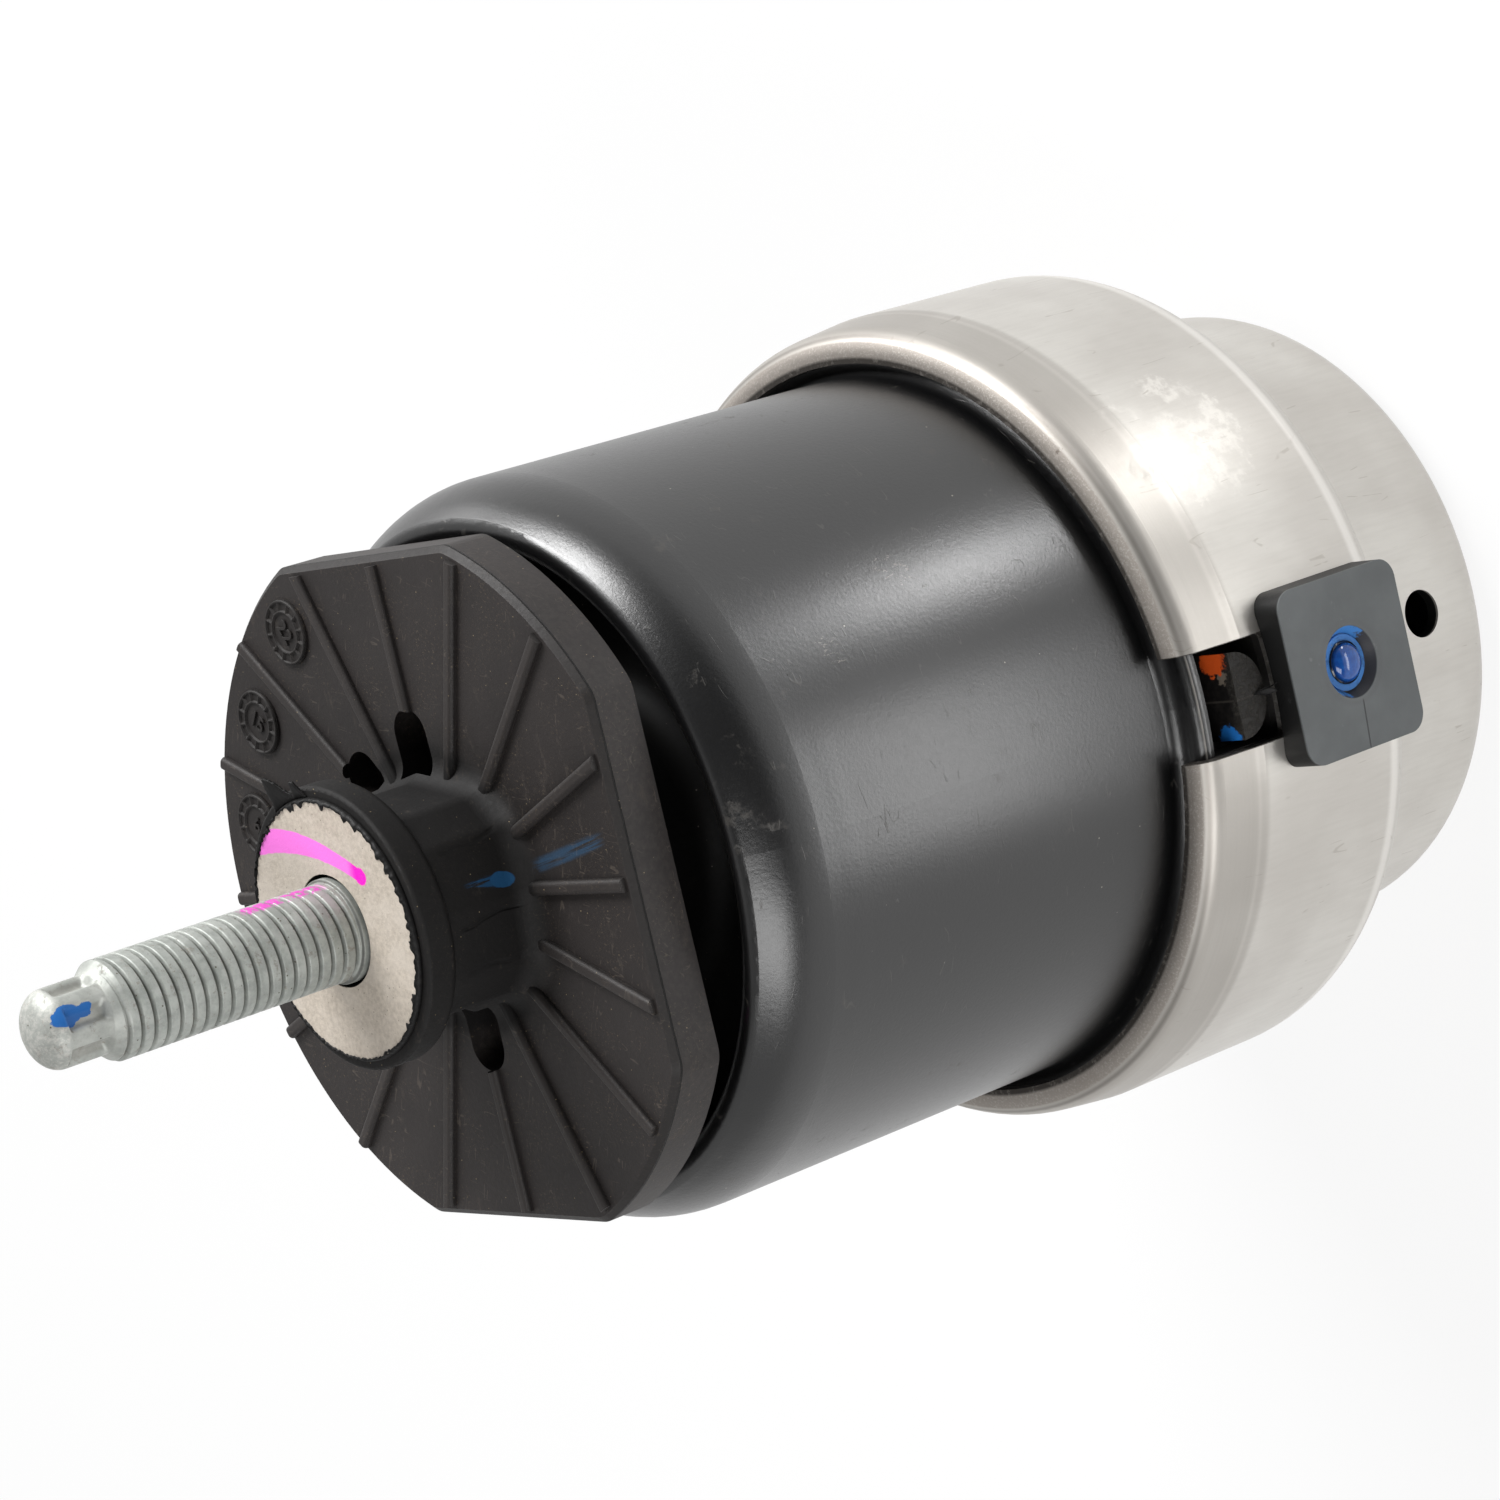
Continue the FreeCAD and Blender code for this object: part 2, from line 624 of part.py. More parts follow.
def make_locating_pad():
    """Square locating pad on the housing's side, with a countersunk seat for the plug."""
    body = new_body("locating_pad")
    half_w = dim("pad_width") / 2
    half_h = dim("pad_high") / 2
    low = dim("pad_z") - half_h
    high = dim("pad_z") + half_h
    face = new_sketch(body, "face_outline", "YZ_Plane")
    outline(face, [
        (-half_w, low, dim("pad_round")),
        (half_w, low, dim("pad_round")),
        (half_w, high, dim("pad_round")),
        (-half_w, high, dim("pad_round")),
    ])
    pad(body, "block", face, dim("pad_face"))
    saddle = new_sketch(body, "saddle_outline", "XY_Plane", low)
    ring_outline(saddle, 0, 0, dim("can_r"))
    pocket(body, "saddle", saddle, dim("pad_high"), upwards=True)
    bottom = dim("can_r") - dim("pad_proud")
    proud = dim("pad_face") + dim("recess_deep")
    groove(body, "seat", [
        (bottom, dim("pad_z")),
        (proud, dim("pad_z")),
        (proud, dim("pad_z") + dim("recess_r")),
        (dim("pad_face"), dim("pad_z") + dim("recess_r")),
        (dim("recess_floor"), dim("pad_z") + dim("recess_floor_r")),
        (dim("recess_floor"), dim("pad_z") + dim("plug_r")),
        (bottom, dim("pad_z") + dim("plug_r")),
    ], axis="Edge1")
    return body


def make_fill_plug():
    """Plug that closes the filling port through the pad and the housing."""
    body = new_body("fill_plug")
    seat = dim("recess_floor") + dim("seal_thick")
    level = dim("pad_z")
    revolve(body, "turned", [
        (dim("plug_end"), level),
        (seat + dim("plug_head"), level),
        (seat + dim("plug_head") / 2, level + dim("plug_head_r")),
        (seat, level + dim("plug_head_r")),
        (seat, level + dim("plug_r")),
        (dim("plug_end"), level + dim("plug_r")),
    ], axis="Edge1")
    return body


def make_plug_seal():
    """Thin sealing washer between the plug's head and the pad."""
    body = new_body("plug_seal")
    washer = new_sketch(body, "washer_outline", "YZ_Plane", dim("recess_floor"))
    ring_outline(washer, 0, dim("pad_z"), dim("seal_r"))
    ring_outline(washer, 0, dim("pad_z"), dim("plug_r"))
    pad(body, "washer", washer, dim("seal_thick"))
    return body


def make_rebound_buffer():
    """Rubber round the core's stem and over the flange that meets the cap's lip in rebound."""
    body = new_body("rebound_buffer")
    skirt = dim("flange_r") + dim("buffer_skin")
    top = dim("flange_z") + dim("buffer_top")
    revolve(body, "moulded", [
        (dim("flange_r"), dim("flange_low")),
        (skirt, dim("flange_low")),
        (skirt, top, dim("buffer_round")),
        (dim("sleeve_r"), top, dim("stem_fillet")),
        (dim("sleeve_r"), dim("cap_turn")),
        (dim("stem_r"), dim("cap_turn")),
        (dim("stem_r"), dim("flange_z"), dim("stem_fillet")),
        (dim("flange_r"), dim("flange_z")),
    ])
    return body


def make_main_spring():
    """Rubber spring: a thick hollow cone from the core to the outer ring, with the index lug."""
    body = new_body("main_spring")
    inner = dim("ring_inner")
    top = dim("flange_under")
    cover = dim("cone_r") + dim("spring_cover")
    slope = (dim("flange_r") - dim("cone_r")) / (dim("flange_low") - dim("cone_z"))
    revolve(body, "moulded", [
        (dim("spring_inner"), dim("ring_low")),
        (inner, dim("ring_low")),
        (inner, top),
        (dim("cap_r") - dim("cap_wall") - dim("spring_foot"), top, dim("bend_round")),
        (cover, dim("cone_z") - dim("spring_rise"), dim("spring_waist")),
        (cover, dim("cone_z") + dim("spring_cover") / slope),
        (dim("cone_r"), dim("cone_z")),
        (dim("core_tip_r"), dim("core_bottom")),
        (dim("core_tip_r") + dim("spring_cover"), dim("core_bottom") - dim("spring_tip"),
         dim("tip_round")),
    ])
    half = dim("lug_width") / 2
    start = inner - dim("spring_cover")
    high = top - dim("lug_drop")
    low = high - dim("lug_high")
    lug = new_sketch(body, "lug_outline", "YZ_Plane", start)
    outline(lug, [
        (-half, low, dim("lug_round")),
        (half, low, dim("lug_round")),
        (half, high),
        (-half, high),
    ])
    pad(body, "lug", lug, dim("can_r") - dim("lug_sunk") - start)
    return body


def make_spring_ring():
    """Outer metal ring of the spring, notched behind the slot for the index lug."""
    body = new_body("spring_ring")
    top = dim("flange_under")
    revolve(body, "turned", [
        (dim("ring_inner"), dim("ring_low")),
        (dim("ring_outer"), dim("ring_low")),
        (dim("ring_outer"), top),
        (dim("ring_inner"), top),
    ])
    half = dim("slot_width") / 2
    notch = new_sketch(body, "notch_outline", "YZ_Plane")
    outline(notch, [
        (-half, dim("slot_low")),
        (half, dim("slot_low")),
        (half, top + dim("cap_wall")),
        (-half, top + dim("cap_wall")),
    ])
    pocket(body, "notch", notch, dim("can_r"), upwards=True)
    return body


def make_channel_plate():
    """Upper channel plate: disc seat, window, and the ring channel that the fluid runs in."""
    body = new_body("channel_plate")
    revolve(body, "cast", [
        (dim("seat_r"), dim("cover_high")),
        (dim("seat_r"), dim("seat_roof")),
        (dim("window_r"), dim("seat_roof")),
        (dim("window_r"), dim("ring_low")),
        (dim("chamber_r"), dim("ring_low")),
        (dim("chamber_r"), dim("cover_high")),
        (dim("track_out"), dim("cover_high")),
        (dim("track_out"), dim("track_roof")),
        (dim("track_in"), dim("track_roof")),
        (dim("track_in"), dim("cover_high")),
    ])
    port = new_sketch(body, "port_outline", "YZ_Plane")
    ring_outline(port, 0, dim("pad_z"), dim("plug_r"))
    pocket(body, "port", port, dim("can_r"), upwards=True)
    return body


def make_channel_cover():
    """Lower plate that closes the channel, with the window under the disc."""
    body = new_body("channel_cover")
    revolve(body, "pressed", [
        (dim("window_r"), dim("cover_low")),
        (dim("chamber_r"), dim("cover_low")),
        (dim("chamber_r"), dim("cover_high")),
        (dim("window_r"), dim("cover_high")),
    ])
    opening = new_sketch(body, "opening_outline", "XY_Plane", dim("cover_low"))
    ring_outline(opening, -(dim("track_in") + dim("track_out")) / 2, 0, dim("opening_r"))
    pocket(body, "opening", opening, dim("cover_thick"), upwards=True)
    return body


def make_decoupler_disc():
    """Loose rubber disc between the two windows."""
    body = new_body("decoupler_disc")
    gap = dim("disc_gap")
    edge = dim("seat_r") - gap * 2
    revolve(body, "moulded", [
        (0, dim("cover_high") + gap),
        (edge, dim("cover_high") + gap, dim("disc_round")),
        (edge, dim("seat_roof") - gap, dim("disc_round")),
        (0, dim("seat_roof") - gap),
    ])
    return body


def make_diaphragm():
    """Thin rubber bag under the channel plates, clamped by its bead on the housing's step."""
    body = new_body("diaphragm")
    floor = dim("step_top")
    skin = dim("skin")
    revolve(body, "moulded", [
        (0, dim("bag_low")),
        (dim("bag_r"), dim("bag_low"), dim("bag_round")),
        (dim("cup_r") - dim("can_wall") - dim("clamp_inset"), floor, dim("bend_round")),
        (dim("chamber_r"), floor, dim("can_round") - dim("can_wall")),
        (dim("chamber_r"), dim("bead_top")),
        (dim("bag_r") + skin / 4, dim("bead_top"), dim("bend_round")),
        (dim("bag_r") - skin, dim("bag_low") + skin, dim("bag_round") - skin),
        (0, dim("bag_low") + skin),
    ])
    return body


def make_clamp_ring():
    """Steel ring that presses the diaphragm's bead down."""
    body = new_body("clamp_ring")
    inner = dim("cup_r") - dim("clamp_inset")
    revolve(body, "pressed", [
        (inner, dim("bead_top")),
        (dim("chamber_r"), dim("bead_top")),
        (dim("chamber_r"), dim("cover_low")),
        (inner, dim("cover_low")),
    ])
    return body


def make_base_nut():
    """Weld nut inside the base, its spigot flush in the base hole, for the lower screw."""
    body = new_body("base_nut")
    flat = dim("nut_flat")
    corner = flat * (2 / math.sqrt(3))
    spigot = new_sketch(body, "spigot_outline", "XY_Plane")
    ring_outline(spigot, 0, 0, dim("base_hole"))
    pad(body, "spigot", spigot, dim("can_wall"))
    sketch = new_sketch(body, "hexagon", "XY_Plane", dim("can_wall"))
    outline(sketch, [
        (corner, 0),
        (corner / 2, flat),
        (-corner / 2, flat),
        (-corner, 0),
        (-corner / 2, -flat),
        (corner / 2, -flat),
    ])
    pad(body, "block", sketch, dim("nut_high"))
    bore = new_sketch(body, "bore_outline", "XY_Plane")
    ring_outline(bore, 0, 0, dim("nut_thread_r"))
    pocket(body, "bore", bore, dim("nut_high") + dim("can_wall"), upwards=True)
    return body


def check_document():
    """Stop at the first object that didn't compute."""
    for item in doc.Objects:
        if any(word in item.State for word in ("Invalid", "Error")):
            raise RuntimeError(f"{item.Label}: {item.State}")


def write_parts(bodies):
    """Write one file for each sub-part."""
    os.makedirs("parts", exist_ok=True)
    for body in bodies:
        shape = body.Shape
        if shape.isNull() or not shape.isValid():
            raise RuntimeError(f"{body.Label} has no valid shape")
        print(body.Label, "solids", len(shape.Solids), "volume", round(shape.Volume, 1))
    for body in bodies:
        body.Shape.exportStep(f"parts/{body.Label}.step")


bodies = [
    make_stud(),
    make_core(),
    make_stop_insert(),
    make_stop_buffer(),
    make_cap(),
    make_housing(),
    make_locating_pad(),
    make_fill_plug(),
    make_plug_seal(),
    make_rebound_buffer(),
    make_main_spring(),
    make_spring_ring(),
    make_channel_plate(),
    make_channel_cover(),
    make_decoupler_disc(),
    make_diaphragm(),
    make_clamp_ring(),
    make_base_nut(),
]
doc.recompute()
check_document()
write_parts(bodies)
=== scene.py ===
import math

import bpy
import numpy as np
from mathutils import Matrix, Vector


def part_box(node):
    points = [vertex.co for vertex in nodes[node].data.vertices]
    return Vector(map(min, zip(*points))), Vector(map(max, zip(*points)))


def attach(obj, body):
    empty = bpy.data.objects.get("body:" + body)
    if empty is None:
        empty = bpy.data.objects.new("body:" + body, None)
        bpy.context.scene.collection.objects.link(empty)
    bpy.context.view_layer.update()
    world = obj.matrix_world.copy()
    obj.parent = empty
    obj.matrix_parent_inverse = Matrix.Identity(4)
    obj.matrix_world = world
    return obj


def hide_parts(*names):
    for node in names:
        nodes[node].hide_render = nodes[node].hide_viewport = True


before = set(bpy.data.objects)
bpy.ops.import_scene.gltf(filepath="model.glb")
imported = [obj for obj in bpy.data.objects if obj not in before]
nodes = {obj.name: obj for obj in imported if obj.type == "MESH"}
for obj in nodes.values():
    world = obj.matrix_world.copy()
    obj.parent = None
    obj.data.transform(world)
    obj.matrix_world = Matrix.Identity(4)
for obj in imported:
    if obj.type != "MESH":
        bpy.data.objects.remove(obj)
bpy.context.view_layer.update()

# Looks of an engine mount: a silver stepped can with a black drawn cap, a ribbed rubber stop
# plate on a cast neck, and a threaded stud. +Z is up along the stud, +X goes through the pad.
# Shapes and patterns are in millimetres; points become metres where they enter a mesh.

MM = 0.001

# Heights of the boss face and of the stud's ends, and the boss face's radius.
BOSS_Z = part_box("core")[1].z / MM
STUD_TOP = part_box("stud")[1].z / MM
STUD_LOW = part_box("stud")[0].z / MM
BOSS_R = 15.6
# The date dials: the height of their seat, their distance from the axis and their turns.
DIAL_Z = 141.05
DIAL_AT = 39.6
DIAL_TURNS = (122.85, 145.35, 166.3)
# The height of the pad's middle line, and the ends of the plug along it.
PAD_Z = 42.2
PLUG_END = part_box("fill_plug")[0].x / MM
PLUG_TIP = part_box("fill_plug")[1].x / MM


class Value:
    """A shader socket on which Python's arithmetic signs add Math nodes."""

    def __init__(self, finish, socket):
        self.finish = finish
        self.socket = socket

    def math(self, operation, *others):
        """The Math node of that operation on this value and the others."""
        inputs = dict(enumerate([self, *others]))
        return self.finish.add("ShaderNodeMath", {"operation": operation}, inputs)

    def __add__(self, other):
        return self.math("ADD", other)

    __radd__ = __add__

    def __sub__(self, other):
        return self.math("SUBTRACT", other)

    def __rsub__(self, other):
        return (self * -1.0) + other

    def __mul__(self, other):
        return self.math("MULTIPLY", other)

    __rmul__ = __mul__

    def __truediv__(self, other):
        return self.math("DIVIDE", other)

    def ramp(self, low, high, start, end):
        """A smooth step of this value from start at low to end at high."""
        return self.finish.add("ShaderNodeMapRange", {"interpolation_type": "SMOOTHSTEP"},
                               {"Value": self, "From Min": low, "From Max": high,
                                "To Min": start, "To Max": end})

    def rise(self, low, high):
        """Nothing below low, one above high, smooth between."""
        return self.ramp(low, high, 0.0, 1.0)

    def fall(self, low, high):
        """One below low, nothing above high, smooth between."""
        return self.ramp(low, high, 1.0, 0.0)

    def band(self, low, high, soft):
        """One between low and high and nothing outside, over soft edges."""
        return self.rise(low - soft, low + soft) * self.fall(high - soft, high + soft)

    def size(self):
        """The value without its sign."""
        return self.math("ABSOLUTE")

    def squared(self):
        """The value times itself."""
        return self * self

    def most(self, other):
        """The larger of the two."""
        return self.math("MAXIMUM", other)


class Finish:
    """A material under construction, with the object's own place in millimetres."""

    def __init__(self, name, **constants):
        self.material = bpy.data.materials.new(name)
        self.material.use_nodes = True
        self.tree = self.material.node_tree
        self.tree.nodes.clear()
        self.shader = self.tree.nodes.new("ShaderNodeBsdfPrincipled")
        self.out = self.tree.nodes.new("ShaderNodeOutputMaterial")
        self.tree.links.new(self.shader.outputs[0], self.out.inputs["Surface"])
        for socket, number in constants.items():
            self.shader.inputs[socket.replace("_", " ")].default_value = number
        metres = self.add("ShaderNodeTexCoord", output="Object")
        self.place = self.add("ShaderNodeVectorMath", {"operation": "MULTIPLY"},
                              {0: metres, 1: (1000.0, 1000.0, 1000.0)})
        split = self.add("ShaderNodeSeparateXYZ", {}, {0: self.place}).socket.node
        self.x, self.y, self.z = (Value(self, split.outputs[i]) for i in range(3))
        self.radius = (self.x.squared() + self.y.squared()).math("SQRT")

    def add(self, kind, settings=None, sockets=None, output=0):
        """Any node: its settings first, then the values or links of its sockets."""
        node = self.tree.nodes.new(kind)
        for key, setting in (settings or {}).items():
            setattr(node, key, setting)
        for key, given in (sockets or {}).items():
            if isinstance(given, Value):
                self.tree.links.new(given.socket, node.inputs[key])
            else:
                node.inputs[key].default_value = given
        return Value(self, node.outputs[output])

    def feed(self, socket, value):
        """Join a value to one of the shader's sockets."""
        self.tree.links.new(value.socket, self.shader.inputs[socket])

    def along(self, degrees):
        """Distance from the axis towards that turn round it."""
        turn = math.radians(degrees)
        return self.x * math.cos(turn) + self.y * math.sin(turn)

    def across(self, degrees):
        """Distance to the left of the plane through the axis at that turn."""
        turn = math.radians(degrees)
        return self.y * math.cos(turn) - self.x * math.sin(turn)

    def from_pad(self):
        """Distance from the pad's middle line."""
        return (self.y.squared() + (self.z - PAD_Z).squared()).math("SQRT")

    def stretched(self, x, y, z):
        """The object's place, stretched along each way."""
        return self.add("ShaderNodeVectorMath", {"operation": "MULTIPLY"},
                        {0: self.place, 1: (x, y, z)})

    def noise(self, grains_per_mm, detail=3.0, rough=0.55, place=None):
        """Noise of that many grains a millimetre, about nothing to one."""
        return self.add("ShaderNodeTexNoise", {"noise_dimensions": "3D"},
                        {"Vector": place or self.place, "Scale": grains_per_mm,
                         "Detail": detail, "Roughness": rough})

    def cells(self, per_mm):
        """Distance to the nearest of scattered points."""
        return self.add("ShaderNodeTexVoronoi", {}, {"Vector": self.place, "Scale": per_mm})

    def specks(self, per_mm, size, share=0.5):
        """Scattered round specks, only where a slow noise is over the share."""
        spots = self.cells(per_mm).fall(size * 0.6, size)
        return spots * self.noise(per_mm * 0.31).rise(share, share + 0.08)

    def drawn(self, degrees, along, across):
        """The object's place, turned about the axis and drawn out along that turn."""
        return self.add("ShaderNodeCombineXYZ", {}, {0: self.along(degrees) * along,
                                                     1: self.across(degrees) * across,
                                                     2: self.z * across})

    def scratches(self, per_mm, place, thin):
        """Fine straight hairlines: where a long-drawn noise crosses its middle."""
        slow = self.noise(per_mm, 1.0, 0.5, place)
        line = (slow - 0.5).size().fall(thin * 0.4, thin)
        return line * self.noise(per_mm * 0.8, 2.0).rise(0.58, 0.64)

    def spot(self, point, radius, ragged):
        """One within the radius of a point, with an edge that ragged."""
        far = self.add("ShaderNodeVectorMath", {"operation": "DISTANCE"},
                       {0: self.place, 1: point}, output="Value")
        far = far + (self.noise(1.3, 4.0) - 0.5) * ragged
        return far.fall(radius * 0.8, radius)

    def blend(self, mask, first, second):
        """The first colour, and the second where the mask is one."""
        return self.add("ShaderNodeMix", {"data_type": "RGBA"},
                        {"Factor": mask, 6: first, 7: second}, output=2)

    def bump(self, height, depth_mm):
        """Dents and grains of that depth."""
        normal = self.add("ShaderNodeBump", {}, {"Height": height, "Distance": depth_mm * MM})
        self.feed("Normal", normal)


def rgb(red, green, blue):
    """A colour from its screen values, 0 to 255."""
    def light(level):
        level = level / 255
        return level / 12.92 if level <= 0.04045 else ((level + 0.055) / 1.055) ** 2.4
    return (light(red), light(green), light(blue), 1.0)


def silver_paint():
    """Satin silver of the can, brushed along the axis below and round it on the lip.

    One side is rubbed bright. The lip has a flat dull band, a grainy slope darkened with
    painted shade and a painted dark reflection where the groove is. A pale painted highlight
    runs along the step's shoulder and painted shade along the crease at the lip's foot. The cut
    edges of lip and slot are rough and dark, partly as painted shade, and the inner walls are
    black.
    """
    f = Finish("silver_can", Specular_IOR_Level=0.5)
    step_z, slot_low, lip_low, band_low, slope_low = 32.2, 51.4, 56.0, 57.6, 64.9
    slot_half = 6.7
    grain = f.noise(2.4, 4.0)
    cloud = f.noise(0.05, 3.0)
    brushed = f.noise(1.6, 3.0, 0.6, f.stretched(1.0, 1.0, 0.10))
    rings = f.noise(0.8, 3.0, 0.6, f.stretched(0.03, 0.03, 2.6))
    lip = f.z.rise(lip_low, lip_low + 2.5)
    lines = lip * rings + (1.0 - lip) * brushed
    colour = f.blend(cloud.rise(0.3, 0.7), rgb(196, 192, 186), rgb(210, 207, 201))
    colour = f.blend((lines - 0.4) * 0.45, colour, rgb(168, 163, 156))
    colour = f.blend(lip * 0.2, colour, rgb(160, 154, 148))
    patches = f.noise(0.22, 3.0, 0.6).rise(0.44, 0.60)
    worn = f.spot((43.0, 31.5, 50.0), 11.0, 8.0) * patches
    worn = worn * f.noise(1.2, 4.0, 0.7, f.drawn(36.0, 1.0, 0.5)).rise(0.36, 0.56)
    scuffs = worn.most(f.noise(0.3, 6.0, 0.75).rise(0.66, 0.74) * 0.3)
    colour = f.blend(scuffs * 0.45, colour, rgb(230, 227, 221))
    hair = f.scratches(0.3, f.stretched(1.0, 1.0, 0.12), 0.010)
    colour = f.blend(hair * 0.35, colour, rgb(150, 142, 132))
    sparkle = f.noise(3.0, 4.0, 0.8).rise(0.50, 0.64)
    slope = f.z.rise(slope_low, slope_low + 0.3)
    flat = f.z.band(band_low, slope_low - 0.1, 0.4)
    colour = f.blend(flat * 0.4, colour, rgb(140, 135, 129))
    # Painted shade: the slope's colour is darkened to dull its highlight.
    colour = f.blend(slope * (0.7 - sparkle * 0.3), colour, rgb(136, 128, 121))
    # Painted reflection: a dark band below the slope, where the groove mirrors dark
    # surroundings.
    dark_reflection_band = f.z.band(slope_low - 0.5, slope_low, 0.25)
    colour = f.blend(dark_reflection_band * 0.55, colour, rgb(96, 91, 86))
    # Painted shade along the crease at the foot of the lip.
    crease = f.z.band(lip_low, lip_low + 1.4, 0.6) * f.radius.rise(51.0, 52.0)
    colour = f.blend(crease * 0.35, colour, rgb(128, 122, 116))
    # Painted highlight: a pale band along the rounded shoulder of the step.
    shoulder = f.z.band(step_z, step_z + 1.4, 0.5) * f.radius.rise(52.6, 53.3)
    colour = f.blend(shoulder * 0.7, colour, rgb(232, 229, 224))
    speck = f.spot((38.17, 33.06, 64.3), 1.1, 0.8).most(f.specks(0.12, 0.05, 0.55))
    colour = f.blend(speck * 0.85, colour, rgb(74, 58, 44))
    # The sheared lip edge and the slot's walls: rough cut metal, darkened partly as painted
    # shade.
    sheared = f.radius.fall(48.9, 49.4) * f.z.rise(61.0, 62.0)
    slot = f.x.rise(45.0, 46.0) * f.z.rise(slot_low, slot_low + 0.3)
    slot = slot * f.y.size().fall(slot_half - 0.04, slot_half + 0.04)
    bright = f.noise(0.9, 4.0, 0.8, f.stretched(1.0, 1.0, 3.0)).rise(0.52, 0.62)
    cut = sheared.most(slot)
    colour = f.blend(cut * (1.0 - bright * 0.25), colour, rgb(58, 54, 50))
    inner = (f.radius.fall(41.7, 41.9) * f.z.band(4.0, 28.0, 0.5)).most(
        f.radius.fall(51.3, 51.9) * f.z.band(33.0, 51.0, 0.3))
    f.feed("Base Color", f.blend(inner, colour, rgb(10, 10, 10)))
    f.feed("Metallic", 0.88 - cut * 0.35 - speck * 0.5 - inner * 0.88)
    rough = 0.35 + grain * 0.10 + scuffs * 0.12 + cut * 0.12
    f.feed("Roughness", rough + lip * 0.06 + slope * 0.14)
    f.bump(grain * 0.5 + lines * 0.8 + scuffs * 0.4 + slope * sparkle * 0.8, 0.012)
    return f.material


def black_paint():
    """Glossy black coat of the drawn cap: scuffs, hairlines, two rubbed marks, pale specks, a
    drawing ridge by the shoulder and a bare rim."""
    f = Finish("black_cap", Specular_IOR_Level=0.85)
    rim_low, rim_top, rim_r = 62.9, 63.75, 50.2
    ridge_low, ridge_top = 116.0, 118.6
    grain = f.noise(2.0, 5.0, 0.65)
    scuffs = f.noise(0.16, 7.0, 0.78).rise(0.60, 0.70) * f.z.rise(68.0, 72.0)
    hair = f.scratches(0.4, f.stretched(0.25, 0.25, 1.0), 0.010)
    ridge = f.z.band(ridge_low, ridge_top, 1.0) * f.noise(0.09, 2.0).rise(0.45, 0.6)
    marks = f.spot((38.8, 25.9, 95.7), 2.6, 3.6).most(f.spot((42.5, 19.2, 110.2), 2.2, 3.2))
    marks = marks * f.noise(2.6, 4.0, 0.7, f.stretched(1.0, 1.0, 0.4)).rise(0.57, 0.63)
    specks = f.specks(0.35, 0.045, 0.5)
    colour = f.blend(scuffs * 0.24, rgb(9, 9, 10), rgb(86, 80, 72))
    colour = f.blend(hair * 0.12, colour, rgb(120, 116, 108))
    colour = f.blend(marks * 0.5, colour, rgb(130, 124, 114))
    colour = f.blend(specks * 0.7, colour, rgb(156, 150, 138))
    rim = f.radius.rise(rim_r, rim_r + 0.2) * f.z.band(rim_low, rim_top, 0.08)
    f.feed("Base Color", f.blend(rim, colour, rgb(186, 182, 176)))
    f.feed("Metallic", rim * 0.85)
    f.feed("Roughness", 0.25 + grain * 0.10 + scuffs * 0.16 + hair * 0.1)
    f.bump(grain + ridge * 0.5 + hair * 0.3, 0.025)
    return f.material


def dusty_rubber(name, dark, pale, dust_share):
    """Moulded rubber with a little dust in its grain."""
    f = Finish(name, Specular_IOR_Level=0.3)
    grain = f.noise(1.6, 5.0, 0.6)
    dust = f.noise(0.5, 7.0, 0.75).rise(0.52, 0.72) * dust_share
    specks = f.specks(0.8, 0.10)
    colour = f.blend(dust, dark, pale)
    f.feed("Base Color", f.blend(specks * 0.6, colour, rgb(120, 114, 104)))
    f.feed("Roughness", 0.50 + grain * 0.2 + dust * 0.15)
    f.bump(grain, 0.03)
    return f.material


